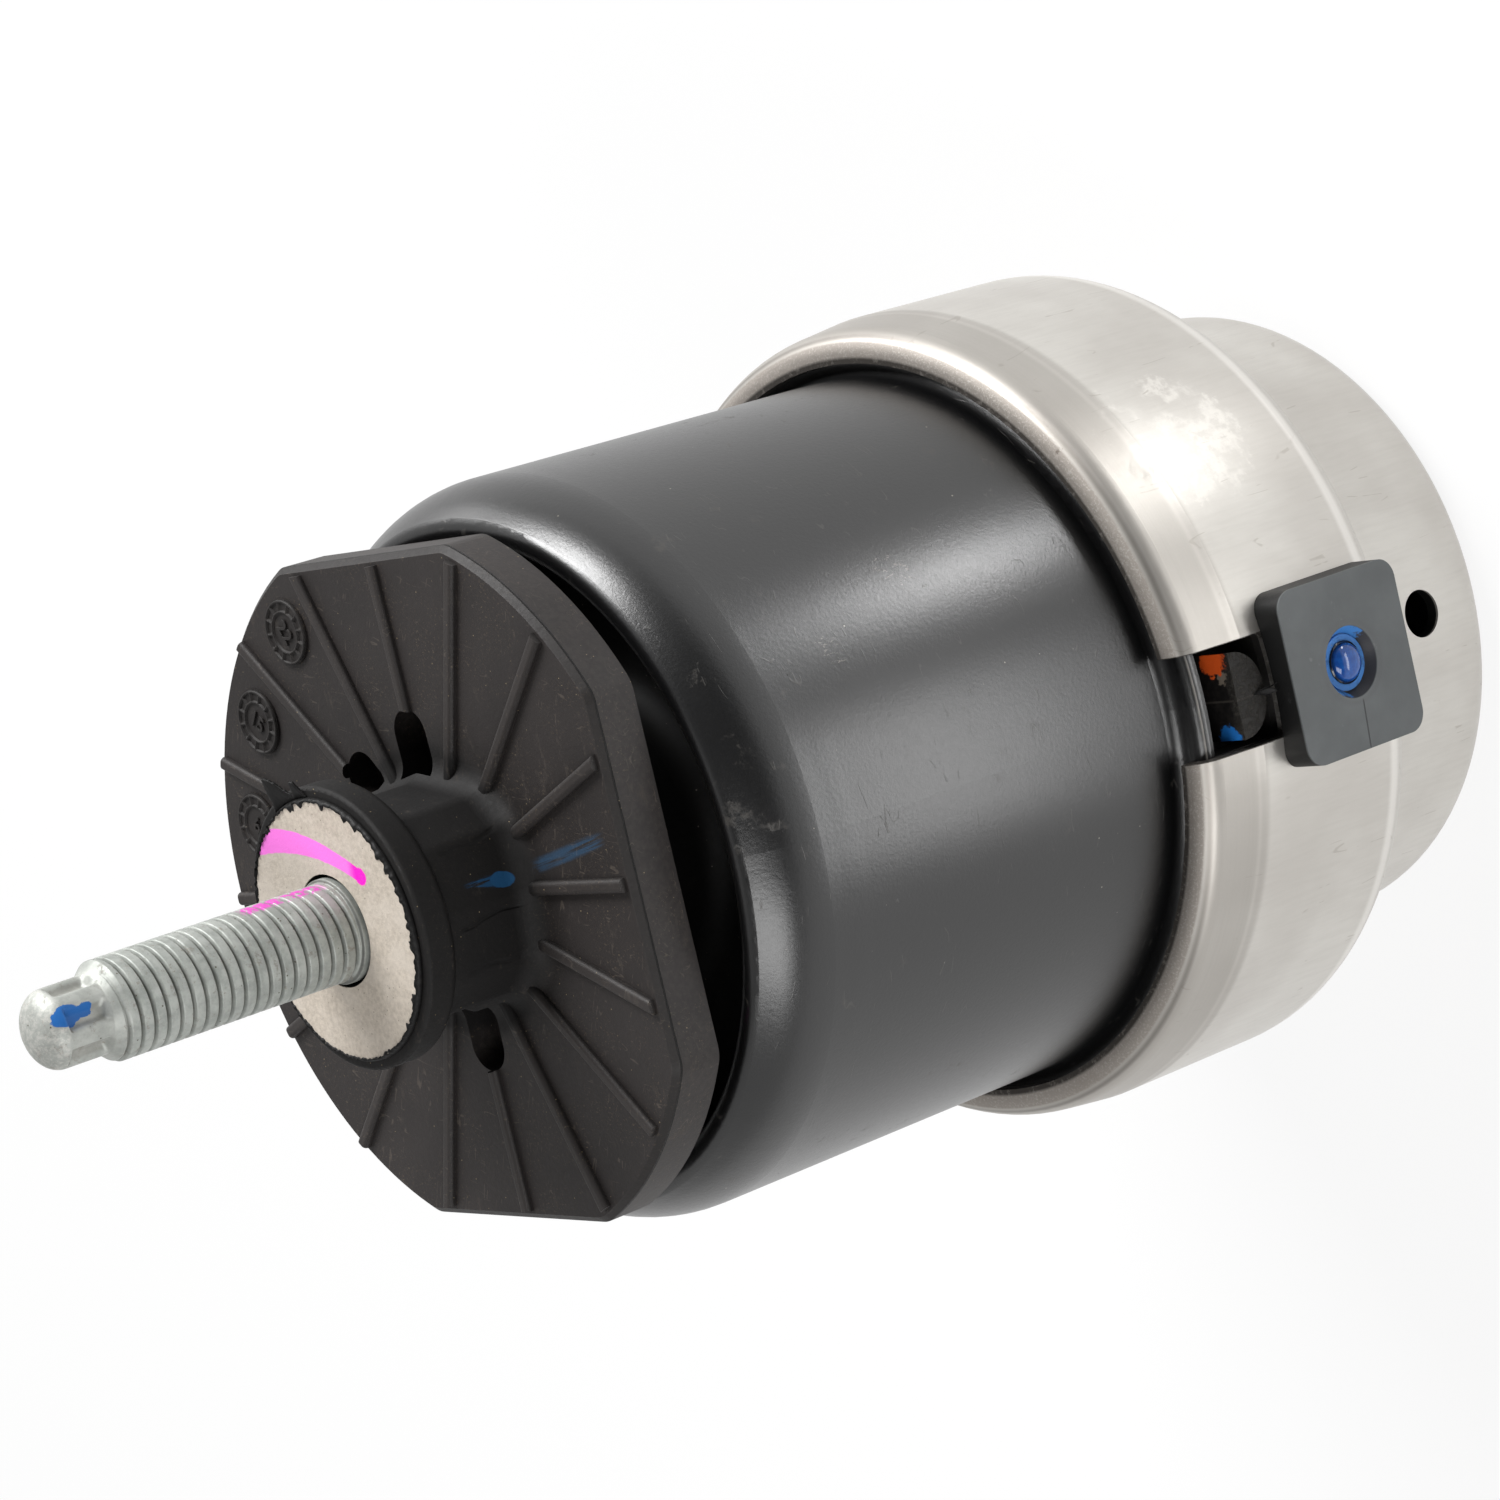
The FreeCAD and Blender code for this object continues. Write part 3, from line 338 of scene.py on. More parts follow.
def stop_rubber():
    """Black rubber of the stop plate: rubbed rib backs, a parting line, scratches, brown grime
    and creases in the neck, which are painted near black as shade. Painted shade also darkens
    the neck and collar, the plate round the neck's root, the feet of the ribs and the bevel.
    A blue stroke is on the neck, a fainter one on the panel beside it, and a red-violet dot on
    the plate's edge."""
    f = Finish("stop_rubber", Specular_IOR_Level=0.32)
    edge_low, parting_z, bevel_low, panel_z, back_z = 134.6, 139.84, 140.05, 140.9, 141.4
    neck_r = 17.2
    grain = f.noise(1.4, 6.0, 0.62)
    fine = f.noise(4.5, 3.0)
    cloud = f.noise(0.07, 4.0, 0.6)
    scuffs = f.scratches(0.5, f.drawn(63.0, 0.10, 1.0), 0.012).most(
        f.scratches(0.6, f.drawn(-14.0, 0.14, 1.0), 0.010))
    smear = f.noise(0.35, 7.0, 0.8, f.stretched(1.0, 0.35, 1.0)).rise(0.58, 0.70)
    dust = f.noise(2.4, 6.0, 0.85).rise(0.57, 0.64) * f.noise(0.12, 3.0).rise(0.42, 0.6)
    specks = f.specks(0.75, 0.065, 0.46)
    plate = f.radius.rise(17.3, 19.0)
    # Painted shade: the neck and collar keep the darkest colour while the plate is lightened,
    # and the plate round the neck's root is darkened again.
    colour = f.blend(cloud.rise(0.35, 0.7), rgb(10, 8, 8), rgb(16, 14, 13))
    colour = f.blend(plate * cloud.ramp(0.3, 0.7, 0.72, 1.0), colour, rgb(42, 38, 37))
    colour = f.blend(f.radius.band(17.0, 21.0, 2.5) * 0.5, colour, rgb(14, 12, 11))
    colour = f.blend(smear * 0.26, colour, rgb(92, 84, 76))
    colour = f.blend(dust * (0.15 + plate * 0.33), colour, rgb(112, 98, 80))
    colour = f.blend(scuffs * plate * 0.22, colour, rgb(112, 102, 92))
    backs = f.z.rise(back_z, back_z + 0.28) * plate
    colour = f.blend(backs * 0.10, colour, rgb(84, 79, 76))
    # Painted shade at the feet of the ribs, where they meet the panel.
    rib_foot_shade = f.z.band(panel_z, panel_z + 0.35, 0.08) * plate * f.radius.fall(42.0, 43.0)
    colour = f.blend(rib_foot_shade * 0.5, colour, rgb(20, 18, 17))
    edge = f.z.band(edge_low, parting_z - 0.14, 0.4) * plate * grain.rise(0.35, 0.7)
    colour = f.blend(edge * 0.35, colour, rgb(66, 61, 58))
    outer = f.radius.rise(30.0, 31.0)
    # Painted shade on the bevel of the plate's outer edge.
    bevel_shade = f.z.band(bevel_low, bevel_low + 0.67, 0.05) * outer
    colour = f.blend(bevel_shade * 0.6, colour, rgb(26, 23, 22))
    parting = f.z.band(parting_z, parting_z + 0.18, 0.05) * outer
    colour = f.blend(parting, colour, rgb(3, 3, 3))
    colour = f.blend(specks * 0.8, colour, rgb(148, 132, 104))
    wobble = (f.noise(0.9, 4.0, 0.7) - 0.5) * 1.6
    sway = (f.noise(0.12, 2.0) - 0.5) * 3.0 + f.z * 0.06 - 8.7

    def fold(offset, wide):
        """A crease that sways up the neck, that far from the middle plane."""
        return (f.y + offset + sway).size().fall(0.08, wide)

    # Creases up the neck: pressed in by the bump and painted near black as shade.
    creases_and_shade = fold(1.4, 0.4).most(fold(7.2, 0.5)).most(fold(-7.6, 0.4))
    on_neck = f.radius.fall(neck_r - 0.6, neck_r)
    creases_and_shade = creases_and_shade * f.z.band(142.8, 151.0, 0.8) * on_neck * f.x.rise(2.0, 6.0)
    colour = f.blend(creases_and_shade * 0.6, colour, rgb(4, 4, 4))
    hairs = f.noise(1.0, 3.0, 0.6, f.stretched(2.6, 2.6, 0.22))
    height = f.y - (f.z - 142.0) * 0.13 - 1.75 + wobble * 0.3
    blob = (height.squared() * 0.9 + (f.z - 144.3).squared() * 0.32).fall(0.75, 1.0)
    tail = (height.size() / f.z.ramp(144.0, 149.6, 0.95, 0.3)).fall(0.7, 1.05)
    tail = tail * f.z.band(144.3, 149.2, 0.6) * hairs.rise(0.44, 0.56)
    stroke = blob.most(tail * 0.8) * f.x.rise(12.0, 13.0) * on_neck
    colour = f.blend(stroke, colour, rgb(14, 66, 104))
    brushed = f.noise(1.0, 3.0, 0.6, f.drawn(11.6, 0.10, 2.6))
    streak = (f.y - f.x * 0.205 + 1.2 + wobble * 0.2).size().fall(0.5, 1.15)
    streak = streak * f.x.band(18.6, 31.8, 1.2) * brushed.rise(0.36, 0.58)
    streak = streak * f.z.rise(panel_z - 0.3, panel_z - 0.15)
    colour = f.blend(streak * 0.5, colour, rgb(40, 76, 106))
    dot = f.spot((34.9, -19.5, 134.2), 0.9, 0.5)
    f.feed("Base Color", f.blend(dot, colour, rgb(176, 26, 150)))
    f.feed("Roughness", 0.60 - plate * 0.14 + grain * 0.20 + smear * 0.12)
    f.bump(grain * 0.8 + fine * 0.25 - parting * 3.0 - creases_and_shade * 4.0, 0.05)
    return f.material


def sandy_cast():
    """Sandy cast face of the boss, with a pink paint arc that ends in a wetter red-violet, and
    painted shade inside the stud's hole.
    """
    f = Finish("core_cast_alloy", Specular_IOR_Level=0.4)
    hole_r, arc_end = 7.1, 8.0
    grain = f.noise(4.2, 5.0, 0.7)
    sand = f.noise(1.6, 4.0, 0.7)
    slow = f.noise(0.25, 4.0, 0.6)
    pores = f.specks(1.3, 0.12, 0.48)
    colour = f.blend(sand.rise(0.3, 0.7), rgb(176, 166, 154), rgb(199, 189, 176))
    colour = f.blend(slow.rise(0.4, 0.65) * 0.5, colour, rgb(208, 199, 188))
    colour = f.blend(grain.rise(0.55, 0.75) * 0.5, colour, rgb(150, 141, 130))
    colour = f.blend(pores * 0.8, colour, rgb(84, 76, 66))
    soil = f.noise(0.8, 6.0, 0.8).rise(0.60, 0.68) * f.radius.rise(11.5, 15.4)
    colour = f.blend(soil * 0.6, colour, rgb(98, 90, 80))
    wobble = (f.noise(0.8, 4.0, 0.6) - 0.5) * 0.9
    middle = f.x * -0.2919 + f.x.squared() * -0.01687 + 9.9
    wide = f.x.ramp(-9.0, 9.0, 1.55, 0.95)
    arc = ((f.y - middle + wobble * 0.4).size() / wide).fall(0.9, 1.02)
    arc = arc * f.x.fall(arc_end, arc_end + 0.5)
    drop = f.spot((8.1, 6.4, BOSS_Z), 1.2, 0.5)
    arc = arc.most(drop) * f.z.rise(BOSS_Z - 0.3, BOSS_Z - 0.2)
    # Painted shade inside the hole round the stud.
    hole_shade = f.radius.fall(hole_r, hole_r + 0.3) * f.z.fall(BOSS_Z - 0.25, BOSS_Z - 0.1)
    colour = f.blend(hole_shade, colour, rgb(24, 22, 20))
    wet = drop.most((f.x + wobble).rise(5.6, 7.4))
    paint = f.blend(wet, rgb(240, 118, 218), rgb(250, 16, 196))
    f.feed("Base Color", f.blend(arc * (1.0 - grain.rise(0.64, 0.8) * 0.3), colour, paint))
    f.feed("Metallic", 0.2 - arc * 0.2)
    f.feed("Roughness", 0.62 + grain * 0.15 - arc * 0.1)
    f.bump(grain * 0.7 + sand - pores, 0.05)
    return f.material


def zinc_flake():
    """Matt grey-green zinc flake of the stud: darker thread roots, painted shade below the boss
    face and in the flutes, paint on its end and on crests.
    """
    f = Finish("stud_zinc_flake", Specular_IOR_Level=0.45)
    thread_top, hollow_low, tab_z, rim_z, patch_z = 190.4, 192.6, 194.7, 197.0, 197.1
    grain = f.noise(2.2, 5.0, 0.7)
    cloud = f.noise(0.35, 5.0, 0.7)
    dirt = f.noise(0.8, 6.0, 0.78).rise(0.56, 0.66)
    thread = f.z.fall(thread_top, thread_top + 0.5)
    roots = f.radius.fall(5.45, 5.7) * thread
    colour = f.blend(cloud.rise(0.35, 0.65), rgb(148, 152, 147), rgb(172, 175, 170))
    colour = f.blend(roots * 0.6, colour, rgb(104, 104, 98))
    # Painted shade: the stud is near black below the boss face, inside the hole.
    colour = f.blend(f.z.fall(BOSS_Z - 0.9, BOSS_Z - 0.4), colour, rgb(24, 22, 20))
    ring_foot = f.z.band(BOSS_Z + 0.42, BOSS_Z + 0.62, 0.08)
    colour = f.blend(ring_foot * 0.7, colour, rgb(60, 58, 54))
    colour = f.blend(dirt * 0.55, colour, rgb(128, 120, 110))
    rubbed = (f.z.rise(189.0, 192.5) * 0.12 + f.z.rise(196.8, 198.2) * 0.3
              * f.noise(1.4, 5.0, 0.8).rise(0.45, 0.6))
    colour = f.blend(rubbed, colour, rgb(216, 212, 206))
    # Painted shade in the six flutes of the drive end.
    flute_shade = f.radius.fall(4.0, 4.35) * f.z.band(hollow_low, rim_z + 0.2, 0.3)
    colour = f.blend(flute_shade * 0.35, colour, rgb(128, 124, 116))
    rim = f.radius.fall(4.45, 4.6) * f.z.band(rim_z, rim_z + 0.5, 0.12)
    colour = f.blend(rim * 0.6, colour, rgb(104, 92, 82))
    colour = f.blend(f.specks(0.9, 0.12), colour, rgb(90, 84, 74))
    shaky = (f.noise(0.7, 4.0, 0.7) - 0.5) * 1.4
    facing = f.along(20.0).rise(1.5, 2.0)
    side = f.across(20.0) + shaky * 0.5
    up = f.z + shaky
    patch = (side.squared() * 0.6 + (up - patch_z).squared() * 0.28).fall(0.85, 1.0)
    tab = ((side - 0.2).squared() * 1.8 + (up - tab_z).squared() * 0.6).fall(0.85, 1.0)
    patch = patch.most(tab) * facing
    colour = f.blend(patch, colour, rgb(12, 92, 164))
    dashes = f.across(78.0).size().fall(0.8, 1.4) * f.along(80.0).rise(0.5, 1.0)
    dashes = dashes * f.radius.rise(5.7, 5.85) * f.z.band(159.4, 170.5, 0.6)
    dashes = dashes * f.noise(0.5, 4.0, 0.8).rise(0.42, 0.46)
    f.feed("Base Color", f.blend(dashes, colour, rgb(204, 72, 176)))
    f.feed("Metallic", 0.45 - patch.most(dashes) * 0.4)
    f.feed("Roughness", 0.46 + grain * 0.16 + dirt * 0.1)
    f.bump(grain * 0.8 + dirt * 0.5, 0.03)
    return f.material


def pad_plastic():
    """Mid-grey moulded plastic: even face, sides painted near black as shade, a slit, blue
    paint in the recess.
    """
    f = Finish("pad_plastic", Specular_IOR_Level=0.35)
    grain = f.noise(3.2, 4.0, 0.6)
    cloud = f.noise(0.12, 4.0)
    face_x, seat_r, slit_z = 56.3, 4.5, 41.6
    face = f.x.rise(face_x, face_x + 0.35)
    grey = f.blend(cloud.rise(0.3, 0.7), rgb(84, 87, 88), rgb(94, 97, 98))
    # Painted shade: all but the face is near black.
    colour = f.blend(face, rgb(10, 10, 10), grey)
    rubs = f.noise(0.4, 6.0, 0.75).rise(0.62, 0.72)
    colour = f.blend(rubs * 0.35, colour, rgb(128, 130, 130))
    far = f.from_pad()
    wall = far.fall(seat_r, seat_r + 0.15) * f.x.fall(face_x + 0.25, face_x + 0.38)
    wall = wall * f.x.rise(53.0, 54.0)
    wet = f.noise(0.45, 4.0, 0.7) * 0.9 + (f.z - PAD_Z) * 0.10 + f.y * 0.05
    colour = f.blend(wall, colour, rgb(54, 54, 58))
    colour = f.blend(wall * wet.rise(0.33, 0.42), colour, rgb(64, 124, 190))
    slit = (f.z - slit_z + (f.y + 5.0) * 0.07).size().fall(0.07, 0.16)
    slit = slit * f.y.band(-10.9, -4.9, 0.2)
    colour = f.blend(slit * 0.8, colour, rgb(40, 40, 42))
    ring = far.band(seat_r + 0.2, seat_r + 0.9, 0.3) * face
    f.feed("Base Color", f.blend(ring * 0.25, colour, rgb(78, 78, 80)))
    f.feed("Roughness", 0.48 + grain * 0.14 - wall * 0.12)
    f.bump(grain * 0.5 - slit * 1.5, 0.03)
    return f.material


def blue_plug():
    """Round-headed steel plug under a shiny blue check mark, with painted shade at its foot."""
    f = Finish("plug_blue", Specular_IOR_Level=0.6)
    grain = f.noise(1.6, 4.0)
    # Painted shade round the head's foot, where it meets the recess.
    edge = f.from_pad().rise(2.2, 2.6)
    colour = f.blend(grain.rise(0.35, 0.7), rgb(10, 66, 140), rgb(18, 80, 156))
    f.feed("Base Color", f.blend(edge, colour, rgb(8, 10, 18)))
    f.feed("Roughness", 0.07 + grain * 0.05)
    f.bump(grain * 0.5, 0.005)
    return f.material


def spring_rubber():
    """Spring rubber, with the two colour checks on the ends of its index lug."""
    f = Finish("spring_rubber", Specular_IOR_Level=0.3)
    grain = f.noise(1.4, 6.0, 0.7)
    outer = f.radius.rise(51.4, 52.2)
    dust = f.noise(1.4, 6.0, 0.85).rise(0.50, 0.60)
    colour = f.blend(grain.rise(0.4, 0.7), rgb(12, 10, 10), rgb(24, 21, 20))
    colour = f.blend(outer * (0.10 + dust * 0.3), colour, rgb(92, 88, 80))
    parting = (f.y + 0.5).size().fall(0.06, 0.2) * f.x.rise(46.0, 47.0)
    colour = f.blend(parting * 0.8, colour, rgb(60, 56, 52))
    lug_z = 58.8
    top = f.z.rise(lug_z - 0.5, lug_z - 0.2) * f.x.rise(46.0, 47.0)
    shaky = f.noise(0.9, 4.0) - 0.5
    orange = f.spot((50.0, 4.7, lug_z), 2.3, 2.4) * top
    blue = f.spot((50.3, -5.2, lug_z), 1.9, 2.2) * top
    smear = (f.spot((51.0, 2.6, lug_z), 1.0, 1.6) + shaky * 0.2) * top
    colour = f.blend(smear * 0.5, colour, rgb(150, 138, 124))
    colour = f.blend(orange, colour, rgb(214, 84, 26))
    f.feed("Base Color", f.blend(blue, colour, rgb(28, 108, 186)))
    f.feed("Roughness", 0.48 + grain * 0.2 + dust * outer * 0.1)
    f.bump(grain + dust * outer, 0.07)
    return f.material


def bare_metal(name, base, worn, rough):
    """Bare metal with a little dirt."""
    f = Finish(name, Metallic=0.9, Specular_IOR_Level=0.5)
    grain = f.noise(2.0, 5.0, 0.6)
    dirt = f.noise(0.5, 5.0, 0.7).rise(0.55, 0.75)
    f.feed("Base Color", f.blend(dirt, base, worn))
    f.feed("Roughness", rough + grain * 0.15 + dirt * 0.1)
    f.bump(grain, 0.02)
    return f.material


def add_piece(name, points, faces, material, replaces=()):
    """Put points and faces into a new mesh that rides on the mount."""
    mesh = bpy.data.meshes.new(name)
    mesh.from_pydata((points.reshape(-1, 3) * MM).tolist(), [], faces.tolist())
    return dress_piece(name, mesh, material, replaces)


def dress_piece(name, mesh, material, replaces=()):
    """Give a mesh its material and let it ride on the mount."""
    mesh.polygons.foreach_set("use_smooth", np.ones(len(mesh.polygons), bool))
    mesh.materials.clear()
    mesh.materials.append(material)
    piece = bpy.data.objects.new(name, mesh)
    bpy.context.scene.collection.objects.link(piece)
    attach(piece, "root")
    if replaces:
        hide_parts(*replaces)
    return piece


def grid_faces(rows, columns, closed=True):
    """Four-cornered faces of a grid of rows and columns, its columns closed into a ring."""
    spans = columns if closed else columns - 1
    row, column = np.meshgrid(np.arange(rows - 1), np.arange(spans), indexing="ij")
    after = (column + 1) % columns
    corners = [row * columns + column, row * columns + after,
               (row + 1) * columns + after, (row + 1) * columns + column]
    return np.stack(corners, axis=-1).reshape(-1, 4)


def smooth(t):
    """Smooth step from nothing to one: 3 t squared minus 2 t cubed."""
    t = np.clip(t, 0, 1)
    return t * t * (3 - 2 * t)


def ragged(turn, waves, seed):
    """A ragged line round a ring, nothing to one: a sum of sines with set phases."""
    phases = np.sin(np.arange(len(waves)) * 12.9898 + seed) * 43.7
    rows = [np.sin(turn * wave + phase) for wave, phase in zip(waves, phases)]
    return np.clip(0.5 + np.sum(rows, axis=0) / len(waves) * 1.1, 0, 1)


def ring_turns(columns):
    """Turns of a closed ring's columns, in radians."""
    return np.arange(columns) / columns * 2 * math.pi


def around(radius, z, turn):
    """Points from radius and height rows and the turns of the columns."""
    radius, z, turn = np.broadcast_arrays(radius, z, turn)
    return np.stack([radius * np.cos(turn), radius * np.sin(turn), z], axis=-1)


def stud_surface():
    """The stud, turned about the axis.

    Its radius is a function of height and turn. On the thread it is a flattened triangle wave
    of the height less one pitch a turn, cut off by a cone at the top. On the drive end it is a
    circle pressed in by six flutes, cut off by an elliptic dome.
    """
    pitch, rows_a_pitch, columns = 1.75, 22, 120
    crest, root, plain, end_r = 6.0, 5.3, 6.4, 4.72
    thread_low, thread_top, flute_low = BOSS_Z + 0.4, 190.2, 191.7
    cone_slope, dome_height = 0.82, 3.1
    flute_depth, flute_turn = 1.15, math.radians(18)
    turn = ring_turns(columns)[None, :]
    z = np.arange(BOSS_Z - 0.3, thread_top + 1.6, pitch / rows_a_pitch)[:, None]
    phase = (z / pitch - turn / (2 * math.pi)) % 1.0
    wave = np.clip((1 - np.abs(2 * phase - 1) - 0.02) / 0.36, 0, 1)
    wave = 0.3 * wave + 0.7 * smooth(wave)
    radius = root + (crest - root) * wave
    radius = plain + (radius - plain) * smooth((z - thread_low) / 0.25)
    cone = end_r + (flute_low + 0.1 - z) * cone_slope
    body = around(np.minimum(radius, np.maximum(cone, end_r)), z, turn)

    # The drive end's rows: even ones on the flutes, then closer ones on the dome.
    rows = np.concatenate([np.linspace(0.0, 6.2, 30), 6.2 + np.linspace(0.1, 2.28, 16)])
    low = z[-1, 0]
    end_z = (low + 0.05 + rows * (STUD_TOP - low - 0.06) / rows[-1])[:, None]
    press = smooth((end_z - flute_low) / 0.9) * smooth((STUD_TOP - 2.7 - end_z) / 0.35)
    flute = smooth((0.62 - np.cos(6 * (turn + flute_turn))) / 1.4)
    over = np.maximum(end_z - (STUD_TOP - dome_height), 0) / dome_height
    dome = np.sqrt(np.clip(1 - over ** 2, 0, 1))
    end = around((end_r - flute_depth * press * flute) * np.maximum(dome, 0.02), end_z, turn)

    foot = np.array([[0.02, STUD_LOW], [6.55, STUD_LOW], [6.55, BOSS_Z - 8.0],
                     [5.4, BOSS_Z - 7.9], [5.4, BOSS_Z - 1.2], [6.4, BOSS_Z - 1.0]])
    shank = around(foot[:, :1], foot[:, 1:], turn)
    tip = around(np.full((1, 1), 0.005), STUD_TOP, turn)
    points = np.concatenate([shank, body, end, tip])
    return points, grid_faces(len(points), columns)


def boss_flash_surface():
    """Ragged skin of rubber round the boss face.

    A flat ring whose inner radius is a ragged function of the turn, deepest on the side of the
    tear, with a closed four-cornered profile.
    """
    columns = 900
    turn = ring_turns(columns)
    teeth = smooth((ragged(turn, [11, 17, 29, 43], 2.0) - 0.62) / 0.38)
    fine = ragged(turn, [37, 83, 127], 4.0) * 0.16
    near_tear = smooth(0.5 + 0.6 * np.cos(turn - math.radians(40)))
    inner = BOSS_R - 0.02 - fine - teeth * (0.12 + 0.6 * near_tear)
    lift = 0.10 + 0.22 * ragged(turn, [19, 37, 67, 97], 5.0)
    low, outer = BOSS_Z - 0.65, 16.05
    profile = [(inner, low + 0.6), (inner + 0.06, low + 0.68),
               (inner * 0.3 + 11.05, low + 0.7 + lift), (outer, low + 0.2), (outer - 0.15, low),
               (inner, low + 0.6)]
    points = np.stack([around(radius, z, turn) for radius, z in profile])
    return points, grid_faces(len(points), columns)


def plug_surface():
    """Filling plug, turned about the pad's middle line.

    It has a shank, a thin collar and a round head whose profile is a quarter of an ellipse.
    """
    columns, shank_r, collar_r, head_r = 72, 2.2, 2.7, 2.45
    seat = PLUG_TIP - 1.5
    head_low = seat + 0.15
    turn = ring_turns(columns)
    arc = np.linspace(0, 1, 20) * math.pi / 2
    shank = np.array([[PLUG_END, 0.005], [PLUG_END, shank_r], [seat, shank_r],
                      [seat, collar_r], [seat + 0.2, collar_r]])
    head = np.stack([head_low + (PLUG_TIP - head_low) * np.sin(arc),
                     head_r * np.cos(arc) + 0.005], axis=-1)
    profile = np.concatenate([shank, head])
    radius = profile[:, 1:]
    points = np.stack([profile[:, :1] + 0 * turn, radius * np.cos(turn),
                       PAD_Z + radius * np.sin(turn)], axis=-1)
    return points, grid_faces(len(points), columns)


def sheet_piece(name, points, material, thick):
    """An open grid of points as a thin sheet of that thickness."""
    faces = grid_faces(*points.shape[:2], closed=False)
    piece = add_piece(name, points, faces, material)
    solid = piece.modifiers.new("thickness", "SOLIDIFY")
    solid.thickness = thick * MM
    solid.offset = 0.0


def torn_flap_points():
    """Torn tongue of rubber on the boss rim: two bell curves over the turn, bent outwards."""
    along = np.linspace(0, 1, 60)[None, :]
    up = np.linspace(0, 1, 14)[:, None]
    turn = np.radians(90 + 27 * along)

    def peak(height, middle, wide):
        """A bell curve: height times e to the minus square of distance over width."""
        return height * np.exp(-((along - middle) / wide) ** 2)

    peaks = peak(3.6, 0.62, 0.20) + peak(2.2, 0.14, 0.10)
    rough = 0.35 * ragged(along * 6.28, [7, 13, 23, 37], 1.0)
    height = (peaks + rough) * smooth(along / 0.06) * smooth((1 - along) / 0.1)
    radius = 16.1 + up * height * 0.95
    z = BOSS_Z - 0.7 + up * height * 0.45 + 0.15 * np.sin(up * 3)
    return around(radius, z, turn)


def lug_flash_points():
    """Torn flash on the lug's parting line: a ragged fin in the plane through the axis."""
    down = np.linspace(0, 1, 50)[None, :]
    out = np.linspace(0, 1, 8)[:, None]
    length = 0.2 + 2.1 * smooth((down - 0.45) / 0.3) * ragged(down * 6.28, [3, 7, 13, 23], 3.0)
    lug_r, lug_top, drop = 52.4, 58.9, 4.6
    x = lug_r + out * length
    y = -0.5 + out * length * 0.4 * np.sin(down * 21)
    z = lug_top - drop * down - out * length * 0.8
    return np.stack([x, y, z], axis=-1)


def dial_surface(middle_turn):
    """Date dial: raised rings and twelve ticks as a height over radius and turn."""
    columns = 144
    turn = ring_turns(columns)[None, :]
    radius = np.array([0.01, 1.2, 2.35, 2.45, 2.5, 2.68, 2.73, 2.85, 3.2, 3.55, 3.68, 3.73,
                       3.78, 4.0, 4.08, 4.12])[:, None]
    ridge = ((radius > 2.47) & (radius < 2.7)) | ((radius > 3.75) & (radius < 4.05))
    tick = (np.arange(columns) % 12 < 2)[None, :] & (radius > 2.6) & (radius < 3.8)
    height = np.where(ridge | tick, 0.30, 0.04)
    height = np.where(radius > 4.1, -0.2, height)
    top = around(radius, DIAL_Z + height, turn)
    base = around(np.array([[4.0], [0.01]]), DIAL_Z - 0.22, turn)
    points = np.concatenate([base[::-1], top[::-1]])
    place = math.radians(middle_turn)
    points = points + np.array([DIAL_AT * math.cos(place), DIAL_AT * math.sin(place), 0])
    return points, grid_faces(len(points), columns)


def dial_number(words, middle_turn, lean, material):
    """Plain raised number in the middle of a dial."""
    text = bpy.data.curves.new("number", "FONT")
    text.body = words
    text.size = 2.9 * MM
    text.extrude = 0.16 * MM
    text.bevel_depth = 0.05 * MM
    text.align_x = "CENTER"
    text.align_y = "CENTER"
    holder = bpy.data.objects.new("number", text)
    mesh = bpy.data.meshes.new_from_object(holder)
    bpy.data.objects.remove(holder)
    place = math.radians(middle_turn)
    middle = Vector((DIAL_AT * math.cos(place), DIAL_AT * math.sin(place), DIAL_Z + 0.12)) * MM
    mesh.transform(Matrix.Translation(middle) @ Matrix.Rotation(math.radians(lean), 4, "Z"))
    mesh.name = f"dial_number_{words}"
    dress_piece(mesh.name, mesh, material)


zinc = zinc_flake()
stop = stop_rubber()
spring = spring_rubber()
dial_rubber = dusty_rubber("dial_rubber", rgb(34, 31, 30), rgb(70, 65, 61), 0.4)
flash_rubber = dusty_rubber("flash_rubber", rgb(8, 7, 7), rgb(44, 40, 37), 0.3)

points, faces = stud_surface()
add_piece("stud_thread", points, faces, zinc, ["stud"])
points, faces = plug_surface()
plug = blue_plug()
add_piece("plug_ball", points, faces, plug, ["fill_plug"])
points, faces = boss_flash_surface()
add_piece("boss_flash", points, faces, flash_rubber)
sheet_piece("boss_tear", torn_flap_points(), flash_rubber, 0.35)
sheet_piece("lug_flash", lug_flash_points(), flash_rubber, 0.12)
for words, turn, lean in zip(("22", "15", "6"), DIAL_TURNS, (-62.0, -40.0, -20.0)):
    points, faces = dial_surface(turn)
    add_piece(f"date_dial_{words}", points, faces, dial_rubber)
    dial_number(words, turn, lean, dial_rubber)

